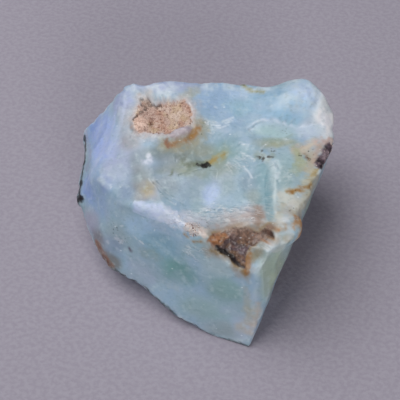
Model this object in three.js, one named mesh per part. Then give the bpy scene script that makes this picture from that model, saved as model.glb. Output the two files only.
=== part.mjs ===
import * as THREE from "three";
import { mergeVertices } from "three/addons/utils/BufferGeometryUtils.js";

// A rough Andean blue opal: one lump of stone, broken on every side, lying on a small flat.
// Millimetres, +Z up. The long way of the stone is X, and the blade-like tip points to -Y.

// A point inside the stone from which all of its skin is in plain sight.
const HEART = [0, -2, 12];
// Farther from the heart than any of the skin.
const REACH = 60;
// Halvings of the way to the skin.
const HALVINGS = 44;
// The skin has 20 * (SKIN_CUTS + 1)^2 triangles.
const SKIN_CUTS = 21;

// How far the worn edges between two broken faces are rounded over.
const EDGE_ROUNDING = 0.6;
// How softly a swelling grows out of the stone.
const LUMP_ROUNDING = 2.0;

// The slow waviness of the broken faces: depth, usual length and number of waves.
const WAVE_DEPTH = 0.2;
const WAVE_LENGTH = 11;
const WAVE_COUNT = 9;
// The lengths run from this share of the usual one, over this span, in steps of the golden ratio.
const WAVE_LEAST = 0.7;
const WAVE_SPAN = 0.6;
const GOLDEN_STEP = 0.618;
const GOLDEN_ANGLE = Math.PI * (3 - Math.sqrt(5));
const WAVE_PHASE = 1.7;
// The waviness fades out over this height above the ground, so the base stays flat.
const WAVE_FADE = 3;

// Flat broken faces: a point on each and the way it looks. The stone lies behind all of them.
const BREAKS = [
  { name: "base", at: [0, 0, 0], facing: [0, 0, -1] },
  { name: "top", at: [0, 5, 27.6], facing: [0, -0.07, 1] },
  { name: "back", at: [0, 24.1, 26], facing: [0, 1, 0.05] },
  { name: "back under", at: [0, 24.6, 13], facing: [0.1, 0.8, -0.62] },
  { name: "back left", at: [-25.4, 22.6, 19], facing: [-0.5, 0.8, 0.25] },
  { name: "lobe corner", at: [26.9, 20.9, 25.5], facing: [0.66, 0.75, 0.02] },
  { name: "lobe right", at: [29.9, 12, 23], facing: [0.98, -0.08, -0.1] },
  { name: "left slope", at: [-25.4, 15.1, 20.2], facing: [-0.78, 0.03, 0.63] },
  { name: "shoulder", at: [-20.4, 5.2, 23.6], facing: [-0.34, -0.18, 0.92] },
  { name: "left side", at: [-31, 8, 12], facing: [-1, 0.03, -0.12] },
  { name: "left under", at: [-30.2, 4, 8.5], facing: [-0.72, -0.1, -0.68] },
  { name: "left front", at: [-24.9, -3.8, 15.2], facing: [-0.77, -0.46, 0.44] },
  { name: "left front foot", at: [-26.7, -8.4, 5], facing: [-0.8, -0.55, -0.15] },
  { name: "front left", at: [-11, -16.5, 12.5], facing: [-0.46, -0.76, 0.45] },
  { name: "ridge bevel", at: [-10.5, -10.8, 22.9], facing: [-0.33, -0.6, 0.73] },
  { name: "front right", at: [4.5, -24, 12], facing: [-0.3, -0.85, 0.42] },
  { name: "front foot", at: [-4, -26.7, 2], facing: [-0.48, -0.64, -0.6] },
  { name: "tip side", at: [12.8, -24.9, 12.7], facing: [0.39, -0.83, 0.39] },
  { name: "right side", at: [14.4, -23.7, 12.5], facing: [0.87, -0.375, -0.08] },
  { name: "right under", at: [23.7, 2, 12], facing: [0.72, 0.1, -0.68] },
  { name: "right rim", at: [27, 6, 25.2], facing: [0.5, -0.1, 0.85] },
  { name: "block top", at: [19, -10, 25], facing: [0.1, -0.08, 1] },
];

// Rounded swellings: the centre and the three radii.
const LUMPS = [
  { name: "back lobe", centre: [20, 20.5, 26.2], radii: [7.5, 6, 3] },
  { name: "orange knob", centre: [17.8, -12.3, 23.4], radii: [2.2, 2.3, 2.2] },
  { name: "black knob", centre: [-30.1, 2.2, 10.6], radii: [1.4, 1.3, 1.4] },
];

// Rounded pits: the centre and the three radii of what is missing.
const PITS = [
  { name: "crust pit", centre: [-10, 13.8, 28.5], radii: [8.2, 5.6, 1.7] },
];

// The slanting step up to the block at the right of the top: it ends the hollows beside it.
const STEP_AT = [12.9, 0, 24.2];
const STEP_DOWN = [0.66, 0.03, -0.75];

// Shell-shaped bites: the deepest point, the way it looks, the radius and a stretch along one way.
// A bite with a stop reaches only as far as that slanting wall.
const SCOOPS = [
  {
    name: "middle hollow", deepest: [4, -7, 23], facing: [-0.02, -0.02, 1], radius: 45,
    along: [1, -0.3, 0], stretch: 1, stop: true,
  },
  {
    name: "dip below the crust", deepest: [-3, 4, 25.4], facing: [-0.1, -0.2, 1], radius: 22,
    along: [1, 0.1, 0], stretch: 1.6,
  },
  {
    name: "upper valley", deepest: [6, 14, 27.1], facing: [0, -0.05, 1], radius: 40,
    along: [0.2, 1, 0], stretch: 1.2,
  },
  {
    name: "ledge, left half", deepest: [14.5, 8.3, 26], facing: [0, -0.14, 1], radius: 14,
    along: [1, 0, 0], stretch: 1.2,
  },
  {
    name: "ledge, right half", deepest: [24.6, 6.8, 25.9], facing: [0.1, -0.14, 1], radius: 15,
    along: [1, 0, 0], stretch: 1.2,
  },
  {
    name: "blue dish on the left", deepest: [-27, 17.5, 18], facing: [-0.75, 0.15, 0.62],
    radius: 13, along: [0, 1, 0.2], stretch: 1.1,
  },
  {
    name: "pale dish on the left", deepest: [-29, 7.5, 14.5], facing: [-0.85, -0.1, 0.5],
    radius: 12, along: [0, 1, 0], stretch: 1.2,
  },
  {
    name: "iron hollow", deepest: [7, -18.2, 20.8], facing: [-0.05, -0.6, 0.8], radius: 7,
    along: [1, -0.2, 0.2], stretch: 1.1,
  },
  {
    name: "arm of the iron hollow", deepest: [10.5, -14.5, 22.9], facing: [-0.2, -0.3, 0.92],
    radius: 6, along: [1, 0.5, 0], stretch: 1.3, stop: true,
  },
  {
    name: "dip in the back edge", deepest: [13.3, 23.3, 27.6], facing: [0, 0.9, 0.4], radius: 4,
    along: [1, 0, 0], stretch: 1.5,
  },
  {
    name: "nick in the back edge", deepest: [-15.2, 23.4, 28.2], facing: [0, 0.8, 0.6], radius: 5,
    along: [1, 0, 0], stretch: 1,
  },
  {
    name: "notch in the left edge", deepest: [-29.6, 12.4, 12.4], facing: [-1, 0, 0.1],
    radius: 11, along: [0, 1, 0], stretch: 1,
  },
  {
    name: "bite under the left foot", deepest: [-16.3, -17.5, 5], facing: [-0.47, -0.61, -0.64],
    radius: 25, along: [1, 0, 0], stretch: 1,
  },
  {
    name: "hollow under the lip", deepest: [16.5, -20.2, 19.5], facing: [0.35, -0.9, 0.1],
    radius: 9, along: [0, 0, 1], stretch: 1.2,
  },
];

const OPAL_COLOUR = 0x9db8c2;
const OPAL_ROUGHNESS = 0.35;

function vector(numbers) {
  return new THREE.Vector3(...numbers);
}

function unit(numbers) {
  return vector(numbers).normalize();
}

// Distance of a point in front of a flat face.
function beyondPlane(point, at, facing) {
  return point.clone().sub(vector(at)).dot(unit(facing));
}

// About the distance of a point outside a ball squeezed to three radii.
function outsideBall(point, centre, radii) {
  const offset = point.clone().sub(vector(centre)).divide(vector(radii));
  return (offset.length() - 1) * Math.min(...radii);
}

// About the distance of a point outside the ball that leaves a scoop.
function outsideScoop(point, scoop) {
  const facing = unit(scoop.facing);
  const centre = vector(scoop.deepest).addScaledVector(facing, scoop.radius);
  const along = unit(scoop.along);
  const offset = point.clone().sub(centre);
  offset.addScaledVector(along, -offset.dot(along) * (1 - 1 / scoop.stretch));
  const distance = offset.length() - scoop.radius;
  return scoop.stop ? Math.max(distance, beyondPlane(point, STEP_AT, STEP_DOWN)) : distance;
}

// The larger of two numbers, blended where they come within the width of each other.
function softMax(a, b, width) {
  const closeness = Math.max(width - Math.abs(a - b), 0) / width;
  return Math.max(a, b) + (closeness * closeness * width) / 4;
}

function softMin(a, b, width) {
  return -softMax(-a, -b, width);
}

// Slow waves running in evenly spread directions, each with a length of its own.
function waviness(point) {
  let total = 0;
  for (let i = 0; i < WAVE_COUNT; i += 1) {
    const height = 1 - (2 * (i + 0.5)) / WAVE_COUNT;
    const spread = Math.sqrt(1 - height * height);
    const turn = i * GOLDEN_ANGLE;
    const way = new THREE.Vector3(spread * Math.cos(turn), spread * Math.sin(turn), height);
    const length = WAVE_LENGTH * (WAVE_LEAST + WAVE_SPAN * ((i * GOLDEN_STEP) % 1));
    total += Math.sin((point.dot(way) * 2 * Math.PI) / length + WAVE_PHASE * i * i);
  }
  return total / Math.sqrt(WAVE_COUNT);
}

// About the distance of a point outside the stone: below zero within it.
function outsideStone(point) {
  let distance = -REACH;
  for (const face of BREAKS) {
    distance = softMax(distance, beyondPlane(point, face.at, face.facing), EDGE_ROUNDING);
  }
  for (const lump of LUMPS) {
    distance = softMin(distance, outsideBall(point, lump.centre, lump.radii), LUMP_ROUNDING);
  }
  for (const pit of PITS) {
    distance = softMax(distance, -outsideBall(point, pit.centre, pit.radii), EDGE_ROUNDING);
  }
  for (const scoop of SCOOPS) {
    distance = softMax(distance, -outsideScoop(point, scoop), EDGE_ROUNDING);
  }
  const fade = THREE.MathUtils.clamp(point.z / WAVE_FADE, 0, 1);
  return Math.max(distance + WAVE_DEPTH * fade * waviness(point), -point.z);
}

// Where the way out from the heart in one direction meets the skin.
function skinPoint(direction) {
  const heart = vector(HEART);
  let inside = 0;
  let outside = REACH;
  for (let i = 0; i < HALVINGS; i += 1) {
    const middle = (inside + outside) / 2;
    const point = heart.clone().addScaledVector(direction, middle);
    if (outsideStone(point) < 0) {
      inside = middle;
    } else {
      outside = middle;
    }
  }
  return heart.addScaledVector(direction, inside);
}

// The skin, set with the middle of its box over the origin and its flat on the ground.
function opalGeometry() {
  const ball = new THREE.IcosahedronGeometry(1, SKIN_CUTS);
  ball.deleteAttribute("normal");
  ball.deleteAttribute("uv");
  const skin = mergeVertices(ball, 1e-5);
  const places = skin.getAttribute("position");
  const direction = new THREE.Vector3();
  for (let i = 0; i < places.count; i += 1) {
    direction.fromBufferAttribute(places, i).normalize();
    const point = skinPoint(direction);
    places.setXYZ(i, point.x, point.y, point.z);
  }
  skin.computeBoundingBox();
  const box = skin.boundingBox;
  skin.translate(-(box.min.x + box.max.x) / 2, -(box.min.y + box.max.y) / 2, -box.min.z);
  skin.computeVertexNormals();
  return skin;
}

function opalMaterial() {
  return new THREE.MeshStandardMaterial({
    name: "opal",
    color: OPAL_COLOUR,
    roughness: OPAL_ROUGHNESS,
    metalness: 0,
  });
}

function buildOpal() {
  const opal = new THREE.Mesh(opalGeometry(), opalMaterial());
  opal.name = "opal";
  const group = new THREE.Group();
  group.name = "rough_andean_blue_opal";
  group.add(opal);
  return group;
}

export default buildOpal();
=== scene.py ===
"""A rough Andean blue opal: one broken lump of milky blue-green stone with a sandy crust patch.

The stone is shaped in millimetres in its own frame, from the same flat breaks, swellings, pits
and shell-shaped scoops as the construction model. A fine skin over that shape gets its small
relief and its colours from named places on the stone, and is then set in the model's frame.
"""
from __future__ import annotations

import logging
import math
from dataclasses import dataclass, field
from enum import Enum

import bpy
import numpy as np
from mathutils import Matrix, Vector


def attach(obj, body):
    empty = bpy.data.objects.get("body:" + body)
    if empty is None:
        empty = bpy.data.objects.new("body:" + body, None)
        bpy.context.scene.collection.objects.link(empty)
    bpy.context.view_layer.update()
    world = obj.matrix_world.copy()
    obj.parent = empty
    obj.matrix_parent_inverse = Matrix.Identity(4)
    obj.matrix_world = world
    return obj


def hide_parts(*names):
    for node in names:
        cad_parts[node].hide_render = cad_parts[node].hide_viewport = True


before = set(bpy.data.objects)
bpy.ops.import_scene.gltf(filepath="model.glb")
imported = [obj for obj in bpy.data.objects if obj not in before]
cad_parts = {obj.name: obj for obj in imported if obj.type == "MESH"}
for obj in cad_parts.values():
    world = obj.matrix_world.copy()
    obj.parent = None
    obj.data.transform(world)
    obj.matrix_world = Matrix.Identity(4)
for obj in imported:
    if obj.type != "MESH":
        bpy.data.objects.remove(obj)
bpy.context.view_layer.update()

log = logging.getLogger("opal")

Array = np.ndarray
Place = tuple[float, float, float]
Piece = bpy.types.Object
Node = bpy.types.Node
Socket = bpy.types.NodeSocket
Tree = bpy.types.NodeTree

MILLIMETRE = 0.001
# The middle of the stone's box in the stone's own frame. The model stands it over the origin.
BOX_MIDDLE = (-0.55, -2.41, 0.0)
GOLDEN_ANGLE = math.pi * (3 - math.sqrt(5))


def unit(way: Place) -> Array:
    """The way as a vector of length one."""
    vector = np.array(way, float)
    return vector / np.linalg.norm(vector)


def soft_max(a: Array, b: Array, width: float) -> Array:
    """The larger of two arrays, blended where they come within the width of each other."""
    closeness = np.maximum(width - np.abs(a - b), 0) / width
    return np.maximum(a, b) + closeness * closeness * width / 4


def soft_min(a: Array, b: Array, width: float) -> Array:
    """The smaller of two arrays, blended where they come within the width of each other."""
    return -soft_max(-a, -b, width)


def ramp(value: Array, start: float, end: float) -> Array:
    """A smooth rise from 0 at the start to 1 at the end."""
    share = np.clip((value - start) / (end - start), 0, 1)
    return share * share * (3 - 2 * share)


def linear_colour(code: str) -> Array:
    """A colour written as six hexadecimal digits, turned into linear light."""
    shown = np.array([int(code[i : i + 2], 16) for i in (0, 2, 4)]) / 255
    return np.where(shown <= 0.04045, shown / 12.92, ((shown + 0.055) / 1.055) ** 2.4)


def cell_random(cells: Array, seed: int) -> Array:
    """An even random number from 0 to 1 for each whole-numbered cell.

    Args:
        cells: whole numbers, with x, y and z last.
        seed: which of the random patterns.

    Returns:
        One number a cell, the same on every run.
    """
    whole = cells.astype(np.int64).astype(np.uint64)
    mixed = whole[..., 0] * np.uint64(73856093)
    mixed = mixed ^ (whole[..., 1] * np.uint64(19349663))
    mixed = mixed ^ (whole[..., 2] * np.uint64(83492791))
    mixed = mixed ^ np.uint64((seed + 1) * 2654435761)
    mixed = (mixed ^ (mixed >> np.uint64(15))) * np.uint64(2246822519)
    mixed = (mixed ^ (mixed >> np.uint64(13))) * np.uint64(3266489917)
    return ((mixed >> np.uint64(16)) & np.uint64(0xFFFF)).astype(float) / 65535


def noise(points: Array, size: float, seed: int = 0, octaves: int = 1) -> Array:
    """Smooth noise from about -1 to 1.

    Args:
        points: places in millimetres.
        size: the width of its largest lumps, in millimetres.
        seed: which of the random patterns.
        octaves: how many times finer noise is added at half the height.

    Returns:
        One number a place.
    """
    total = np.zeros(len(points))
    reach = 0.0
    # Each octave is turned and moved, so that the cells of two octaves never line up
    for octave in range(octaves):
        turn = unit((0.3 + octave, 1.0, 0.6 + 0.5 * octave))
        side = unit(tuple(np.cross(turn, (0.2, 0.1, 1.0))))
        axes = np.stack([turn, side, np.cross(turn, side)])
        spot = points @ axes.T / (size / 2**octave) + 17.3 * octave
        corner = np.floor(spot)
        share = spot - corner
        share = share * share * share * (share * (share * 6 - 15) + 10)
        value = np.zeros(len(points))
        for offset in np.ndindex(2, 2, 2):
            step = np.array(offset)
            weight = np.prod(np.where(step == 1, share, 1 - share), axis=1)
            value += weight * cell_random(corner + step, seed + 31 * octave)
        total += (2 * value - 1) / 2**octave
        reach += 0.6 / 2**octave
    return total / reach


@dataclass(frozen=True)
class Break:
    """A flat broken face: a point on it and the way it looks. The stone lies behind it."""

    name: str
    at: Place
    facing: Place

    def beyond(self, points: Array) -> Array:
        """Distance of the points in front of the face."""
        return (points - np.array(self.at)) @ unit(self.facing)


@dataclass(frozen=True)
class Ball:
    """A ball squeezed to three radii: a swelling of the stone, or a pit in it."""

    name: str
    centre: Place
    radii: Place

    def outside(self, points: Array) -> Array:
        """About the distance of the points outside the ball."""
        offset = (points - np.array(self.centre)) / np.array(self.radii)
        return (np.linalg.norm(offset, axis=1) - 1) * min(self.radii)


@dataclass(frozen=True)
class Scoop:
    """A shell-shaped bite: its deepest point, the way it looks, its radius and a stretch along one way."""

    name: str
    deepest: Place
    facing: Place
    radius: float
    along: Place = (1, 0, 0)
    stretch: float = 1.0
    stop: Break | None = None

    def outside(self, points: Array) -> Array:
        """About the distance of the points outside the ball that left the bite.

        Args:
            points: places in millimetres.

        Returns:
            One distance a point, below zero within the bite.
        """
        along = unit(self.along)
        offset = points - np.array(self.deepest) - unit(self.facing) * self.radius
        offset = offset - (offset @ along)[:, None] * along * (1 - 1 / self.stretch)
        distance = np.linalg.norm(offset, axis=1) - self.radius
        if self.stop is not None:
            distance = np.maximum(distance, self.stop.beyond(points))
        return distance


BREAKS = (
    Break("base", (0, 0, 0), (0, 0, -1)),
    Break("top", (0, 5, 27.6), (0, -0.07, 1)),
    Break("back", (0, 24.1, 26), (0, 1, 0.05)),
    Break("back under", (0, 24.6, 13), (0.1, 0.8, -0.62)),
    Break("back left", (-25.4, 22.6, 19), (-0.5, 0.8, 0.25)),
    Break("lobe corner", (26.9, 20.9, 25.5), (0.66, 0.75, 0.02)),
    Break("lobe right", (29.9, 12, 23), (0.98, -0.08, -0.1)),
    Break("left slope", (-25.4, 15.1, 20.2), (-0.78, 0.03, 0.63)),
    Break("shoulder", (-20.4, 5.2, 23.6), (-0.34, -0.18, 0.92)),
    Break("left side", (-31, 8, 12), (-1, 0.03, -0.12)),
    Break("left under", (-30.2, 4, 8.5), (-0.72, -0.1, -0.68)),
    Break("left front", (-24.9, -3.8, 15.2), (-0.77, -0.46, 0.44)),
    Break("left front foot", (-26.7, -8.4, 5), (-0.8, -0.55, -0.15)),
    Break("front left", (-11, -16.5, 12.5), (-0.46, -0.76, 0.45)),
    Break("ridge bevel", (-10.5, -10.8, 22.9), (-0.33, -0.6, 0.73)),
    Break("front right", (4.5, -24, 12), (-0.3, -0.85, 0.42)),
    Break("front foot", (-4, -26.7, 2), (-0.48, -0.64, -0.6)),
    Break("tip side", (12.8, -24.9, 12.7), (0.39, -0.83, 0.39)),
    Break("right side", (14.4, -23.7, 12.5), (0.87, -0.375, -0.08)),
    Break("right under", (23.7, 2, 12), (0.72, 0.1, -0.68)),
    Break("right rim", (27, 6, 25.2), (0.5, -0.1, 0.85)),
    Break("block top", (19, -10, 25), (0.1, -0.08, 1)),
)

LUMPS = (
    Ball("back lobe", (20, 20.5, 26.2), (7.5, 6, 3)),
    Ball("orange knob", (17.8, -12.3, 23.4), (2.2, 2.3, 2.2)),
    Ball("rusty swelling of the right edge", (18.2, -14.0, 23.7), (2.1, 2.4, 1.8)),
    Ball("black knob", (-30.1, 2.2, 10.6), (1.4, 1.3, 1.4)),
)

PITS = (Ball("crust pit", (-10, 13.8, 28.5), (8.2, 5.6, 1.7)),)

STEP = Break("step up to the block", (12.9, 0, 24.2), (0.66, 0.03, -0.75))

SCOOPS = (
    Scoop("middle hollow", (4, -7, 23), (-0.02, -0.02, 1), 45, (1, -0.3, 0), 1, STEP),
    Scoop("dip below the crust", (-3, 4, 25.4), (-0.1, -0.2, 1), 22, (1, 0.1, 0), 1.6),
    Scoop("upper valley", (6, 14, 27.1), (0, -0.05, 1), 40, (0.2, 1, 0), 1.2),
    Scoop("ledge, left half", (14.5, 8.3, 26), (0, -0.14, 1), 14, (1, 0, 0), 1.2),
    Scoop("ledge, right half", (24.6, 6.8, 25.9), (0.1, -0.14, 1), 15, (1, 0, 0), 1.2),
    Scoop("blue dish on the left", (-27, 17.5, 18), (-0.75, 0.15, 0.62), 13, (0, 1, 0.2), 1.1),
    Scoop("pale dish on the left", (-29, 7.5, 14.5), (-0.85, -0.1, 0.5), 12, (0, 1, 0), 1.2),
    Scoop("iron hollow", (7, -18.2, 20.8), (-0.05, -0.6, 0.8), 7, (1, -0.2, 0.2), 1.1),
    Scoop("arm of the iron hollow", (10.5, -14.5, 22.9), (-0.2, -0.3, 0.92), 6, (1, 0.5, 0), 1.3, STEP),
    Scoop("dip in the back edge", (13.3, 23.3, 27.6), (0, 0.9, 0.4), 4, (1, 0, 0), 1.5),
    Scoop("nick in the back edge", (-15.2, 23.4, 28.2), (0, 0.8, 0.6), 5),
    Scoop("notch in the left edge", (-29.6, 12.4, 12.4), (-1, 0, 0.1), 11, (0, 1, 0)),
    Scoop("bite under the left foot", (-16.3, -17.5, 5), (-0.47, -0.61, -0.64), 25),
    Scoop("hollow under the lip", (16.5, -20.2, 19.5), (0.35, -0.9, 0.1), 9, (0, 0, 1), 1.2),
    Scoop("chip above the rusty swelling", (20.5, -9.3, 24.3), (0.85, -0.3, 0.4), 3),
    Scoop("chip high in the right edge", (24.1, -2.4, 24.2), (0.8, -0.3, 0.5), 3.5),
    Scoop("chip in the right wall", (15.7, -19.5, 19.8), (0.87, -0.375, -0.08), 9),
)


@dataclass
class StoneShape:
    """The stone's whole form as a distance field in millimetres, and the way to its skin."""

    edge_rounding: float = 0.6
    lump_rounding: float = 2.0
    wave_depth: float = 0.2
    wave_length: float = 11.0
    wave_count: int = 9
    shortest_wave: float = 0.7
    wave_spread: float = 0.6
    golden_share: float = 0.618
    phase_step: float = 1.7
    wave_fade: float = 3.0
    heart: Place = (0, -2, 12)
    reach: float = 60.0
    halvings: int = 16
    closing_steps: int = 4

    def waviness(self, points: Array) -> Array:
        """Slow waves in evenly spread directions, each with a length of its own.

        Args:
            points: places in millimetres.

        Returns:
            The sum of the waves at each point, mostly from -1 to 1.
        """
        total = np.zeros(len(points))
        for i in range(self.wave_count):
            height = 1 - 2 * (i + 0.5) / self.wave_count
            spread = math.sqrt(1 - height * height)
            turn = i * GOLDEN_ANGLE
            way = np.array([spread * math.cos(turn), spread * math.sin(turn), height])
            length = self.wave_length * (
                self.shortest_wave + self.wave_spread * ((i * self.golden_share) % 1)
            )
            total += np.sin(points @ way * 2 * math.pi / length + self.phase_step * i * i)
        return total / math.sqrt(self.wave_count)

    def outside(self, points: Array) -> Array:
        """About the distance of the points outside the stone.

        Args:
            points: places in millimetres.

        Returns:
            One distance a point, below zero within the stone.
        """
        distance = np.full(len(points), -self.reach)
        for face in BREAKS:
            distance = soft_max(distance, face.beyond(points), self.edge_rounding)
        for lump in LUMPS:
            distance = soft_min(distance, lump.outside(points), self.lump_rounding)
        for pit in PITS:
            distance = soft_max(distance, -pit.outside(points), self.edge_rounding)
        for scoop in SCOOPS:
            distance = soft_max(distance, -scoop.outside(points), self.edge_rounding)
        fade = np.clip(points[:, 2] / self.wave_fade, 0, 1)
        return np.maximum(distance + self.wave_depth * fade * self.waviness(points), -points[:, 2])

    def slope(self, points: Array, step: float = 0.05) -> Array:
        """The way straight out of the skin at each point.

        Args:
            points: places on the skin in millimetres.
            step: how far to either side the form is felt for its slope.

        Returns:
            One direction of length one for each point.
        """
        parts = []
        for axis in range(3):
            offset = np.zeros(3)
            offset[axis] = step
            parts.append(self.outside(points + offset) - self.outside(points - offset))
        out = np.stack(parts, 1)
        return out / np.linalg.norm(out, axis=1, keepdims=True)

    def skin(self, ways: Array) -> Array:
        """Where straight lines from the heart meet the skin.

        Args:
            ways: directions of length one.

        Returns:
            One point for each direction.
        """
        heart = np.array(self.heart)
        inside = np.zeros(len(ways))
        beyond = np.full(len(ways), self.reach)
        for _ in range(self.halvings):
            middle = (inside + beyond) / 2
            within = self.outside(heart + ways * middle[:, None]) < 0
            inside = np.where(within, middle, inside)
            beyond = np.where(within, beyond, middle)
        low = self.outside(heart + ways * inside[:, None])
        high = self.outside(heart + ways * beyond[:, None])
        # The last steps follow the straight line between the two nearest distances
        for _ in range(self.closing_steps):
            middle = inside + (beyond - inside) * np.clip(-low / (high - low), 0.05, 0.95)
            value = self.outside(heart + ways * middle[:, None])
            within = value < 0
            inside, low = np.where(within, middle, inside), np.where(within, value, low)
            beyond, high = np.where(within, beyond, middle), np.where(within, high, value)
        return heart + ways * ((inside + beyond) / 2)[:, None]


@dataclass
class BallNet:
    """A net of even triangles over a ball, drawn together towards one side of it."""

    cuts: int = 98
    towards: Place = (-0.1, -0.45, 0.85)
    pull: float = 0.3
    neighbour_product: float = 0.4

    def build(self) -> tuple[Array, Array]:
        """Makes the net.

        Returns:
            The directions of its points, and its triangles as rows of three point numbers.
        """
        golden = (1 + math.sqrt(5)) / 2
        corners = []
        for a, b in ((-1, golden), (1, golden), (-1, -golden), (1, -golden)):
            corners += [(a, b, 0), (0, a, b), (b, 0, a)]
        corners = np.array(corners) / math.sqrt(1 + golden * golden)
        near = corners @ corners.T > self.neighbour_product
        faces = [
            (a, b, c)
            for a in range(12)
            for b in range(a + 1, 12)
            for c in range(b + 1, 12)
            if near[a, b] and near[b, c] and near[a, c]
        ]
        steps = np.array([(i, j) for i in range(self.cuts + 1) for j in range(self.cuts + 1 - i)])
        number = np.full((self.cuts + 2, self.cuts + 2), -1)
        number[steps[:, 0], steps[:, 1]] = np.arange(len(steps))
        i, j = steps[steps.sum(1) < self.cuts].T
        upright = np.stack([number[i, j], number[i + 1, j], number[i, j + 1]], 1)
        i, j = steps[steps.sum(1) < self.cuts - 1].T
        turned = np.stack([number[i + 1, j], number[i + 1, j + 1], number[i, j + 1]], 1)
        pattern = np.concatenate([upright, turned])
        shares = np.stack([self.cuts - steps.sum(1), steps[:, 0], steps[:, 1]], 1) / self.cuts
        points, triangles = [], []
        for count, (a, b, c) in enumerate(faces):
            if np.dot(np.cross(corners[b] - corners[a], corners[c] - corners[a]), corners[a]) < 0:
                b, c = c, b
            points.append(shares @ corners[[a, b, c]])
            triangles.append(pattern + count * len(steps))
        ways = np.concatenate(points)
        ways /= np.linalg.norm(ways, axis=1, keepdims=True)
        _, first, merged = np.unique(
            np.round(ways, 6), axis=0, return_index=True, return_inverse=True
        )
        ways = ways[first] + self.pull * unit(self.towards)
        ways /= np.linalg.norm(ways, axis=1, keepdims=True)
        return ways, merged.reshape(-1)[np.concatenate(triangles)]


@dataclass
class Neighbours:
    """Which points of a net are joined, for smoothing over it."""

    triangles: Array
    count: int
    pairs: Array = field(init=False)
    many: Array = field(init=False)

    def __post_init__(self) -> None:
        """Lists every edge of the net both ways round."""
        corners = self.triangles
        edges = np.concatenate([corners[:, [0, 1]], corners[:, [1, 2]], corners[:, [2, 0]]])
        self.pairs = np.concatenate([edges, edges[:, ::-1]])
        self.many = np.bincount(self.pairs[:, 0], minlength=self.count)

    def smooth(self, values: Array, rounds: int) -> Array:
        """Replaces each value by the mean of its neighbours, so many times over.

        Args:
            values: one row a point.
            rounds: how many times.

        Returns:
            The smoothed values, in rows as before.
        """
        for _ in range(rounds):
            columns = [
                np.bincount(self.pairs[:, 0], values[self.pairs[:, 1], k], self.count)
                for k in range(values.shape[1])
            ]
            values = np.stack(columns, 1) / self.many[:, None]
        return values


def own_seed(name: str) -> int:
    """A seed that belongs to a name, the same on every run."""
    return sum((place + 1) * ord(letter) for place, letter in enumerate(name)) % 9973


def path_distance(points: Array, path: tuple[Place, ...]) -> Array:
    """Distance from each point to a chain of straight lines, or to a single place.

    Args:
        points: places in millimetres.
        path: the corners of the chain, or the one place.

    Returns:
        One distance a point.
    """
    nearest = np.full(len(points), np.inf)
    chain = np.array(path, float)
    ends = chain[1:] if len(chain) > 1 else chain
    for start, end in zip(chain, ends):
        line = end - start
        share = np.clip((points - start) @ line / max(line @ line, 1e-9), 0, 1)
        gap = np.linalg.norm(points - start - share[:, None] * line, axis=1)
        nearest = np.minimum(nearest, gap)
    return nearest


def side_of_path(points: Array, path: tuple[Place, ...], side: Place) -> Array:
    """Distance to a path with a sign: above zero on the named side of it.

    Args:
        points: places in millimetres.
        path: the corners of the path.
        side: the way from the path to the side that counts as above zero.

    Returns:
        One distance a point, and beyond the path's two ends a distance below zero.
    """
    chain = np.array(path, float)
    nearest = np.full(len(points), np.inf)
    signed = np.full(len(points), -np.inf)
    for number, (start, end) in enumerate(zip(chain[:-1], chain[1:])):
        line = end - start
        along = (points - start) @ line / (line @ line)
        share = np.clip(along, 0, 1)
        offset = points - start - share[:, None] * line
        gap = np.linalg.norm(offset, axis=1)
        across = np.where(offset @ np.array(side, float) > 0, gap, -gap)
        past = (number == 0) & (along < 0) | (number == len(chain) - 2) & (along > 1)
        across = np.where(past, -gap, across)
        closer = gap < nearest
        signed = np.where(closer, across, signed)
        nearest = np.where(closer, gap, nearest)
    return signed


def outline_distance(points: Array, outline: tuple[tuple[float, float], ...]) -> Array:
    """Distance to a closed outline seen from above.

    Args:
        points: places in millimetres.
        outline: the corners of the outline, by x and y.

    Returns:
        One distance a point, below zero within the outline.
    """
    flat = points[:, :2]
    nearest = np.full(len(flat), np.inf)
    within = np.zeros(len(flat), bool)
    corners = np.array(outline, float)
    for start, end in zip(corners, np.roll(corners, -1, axis=0)):
        line = end - start
        offset = flat - start
        share = np.clip(offset @ line / (line @ line), 0, 1)
        nearest = np.minimum(nearest, np.linalg.norm(offset - share[:, None] * line, axis=1))
        spans = (start[1] > flat[:, 1]) != (end[1] > flat[:, 1])
        rise = np.where(line[1] == 0, 1, line[1])
        crossing = start[0] + offset[:, 1] / rise * line[0]
        within ^= spans & (flat[:, 0] < crossing)
    return np.where(within, -nearest, nearest)


def make_mesh(name: str, points: Array, triangles: Array) -> Piece:
    """Puts a smooth-shaded object into the scene.

    Args:
        name: the name of the mesh and of the object.
        points: its places in metres.
        triangles: rows of three point numbers.

    Returns:
        The object.
    """
    mesh = bpy.data.meshes.new(name)
    mesh.from_pydata(points.tolist(), [], triangles.tolist())
    mesh.shade_smooth()
    piece = bpy.data.objects.new(name, mesh)
    bpy.context.scene.collection.objects.link(piece)
    return piece


def write_colours(piece: Piece, name: str, values: Array) -> None:
    """Keeps four numbers a point with the mesh, as a named colour."""
    layer = piece.data.attributes.new(name, "FLOAT_COLOR", "POINT")
    layer.data.foreach_set("color", values.ravel())


class Surface(Enum):
    """What the skin is made of, from place to place. The value is its material's place in the list."""

    OPAL = 0
    CRUST = 1
    IRON = 2


class Mark(Enum):
    """A fine finish that the skin's own net can't show. The value is its column."""

    TORN = 0
    CHALK = 1
    SPECKS = 2
    GRAINS = 3


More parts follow.
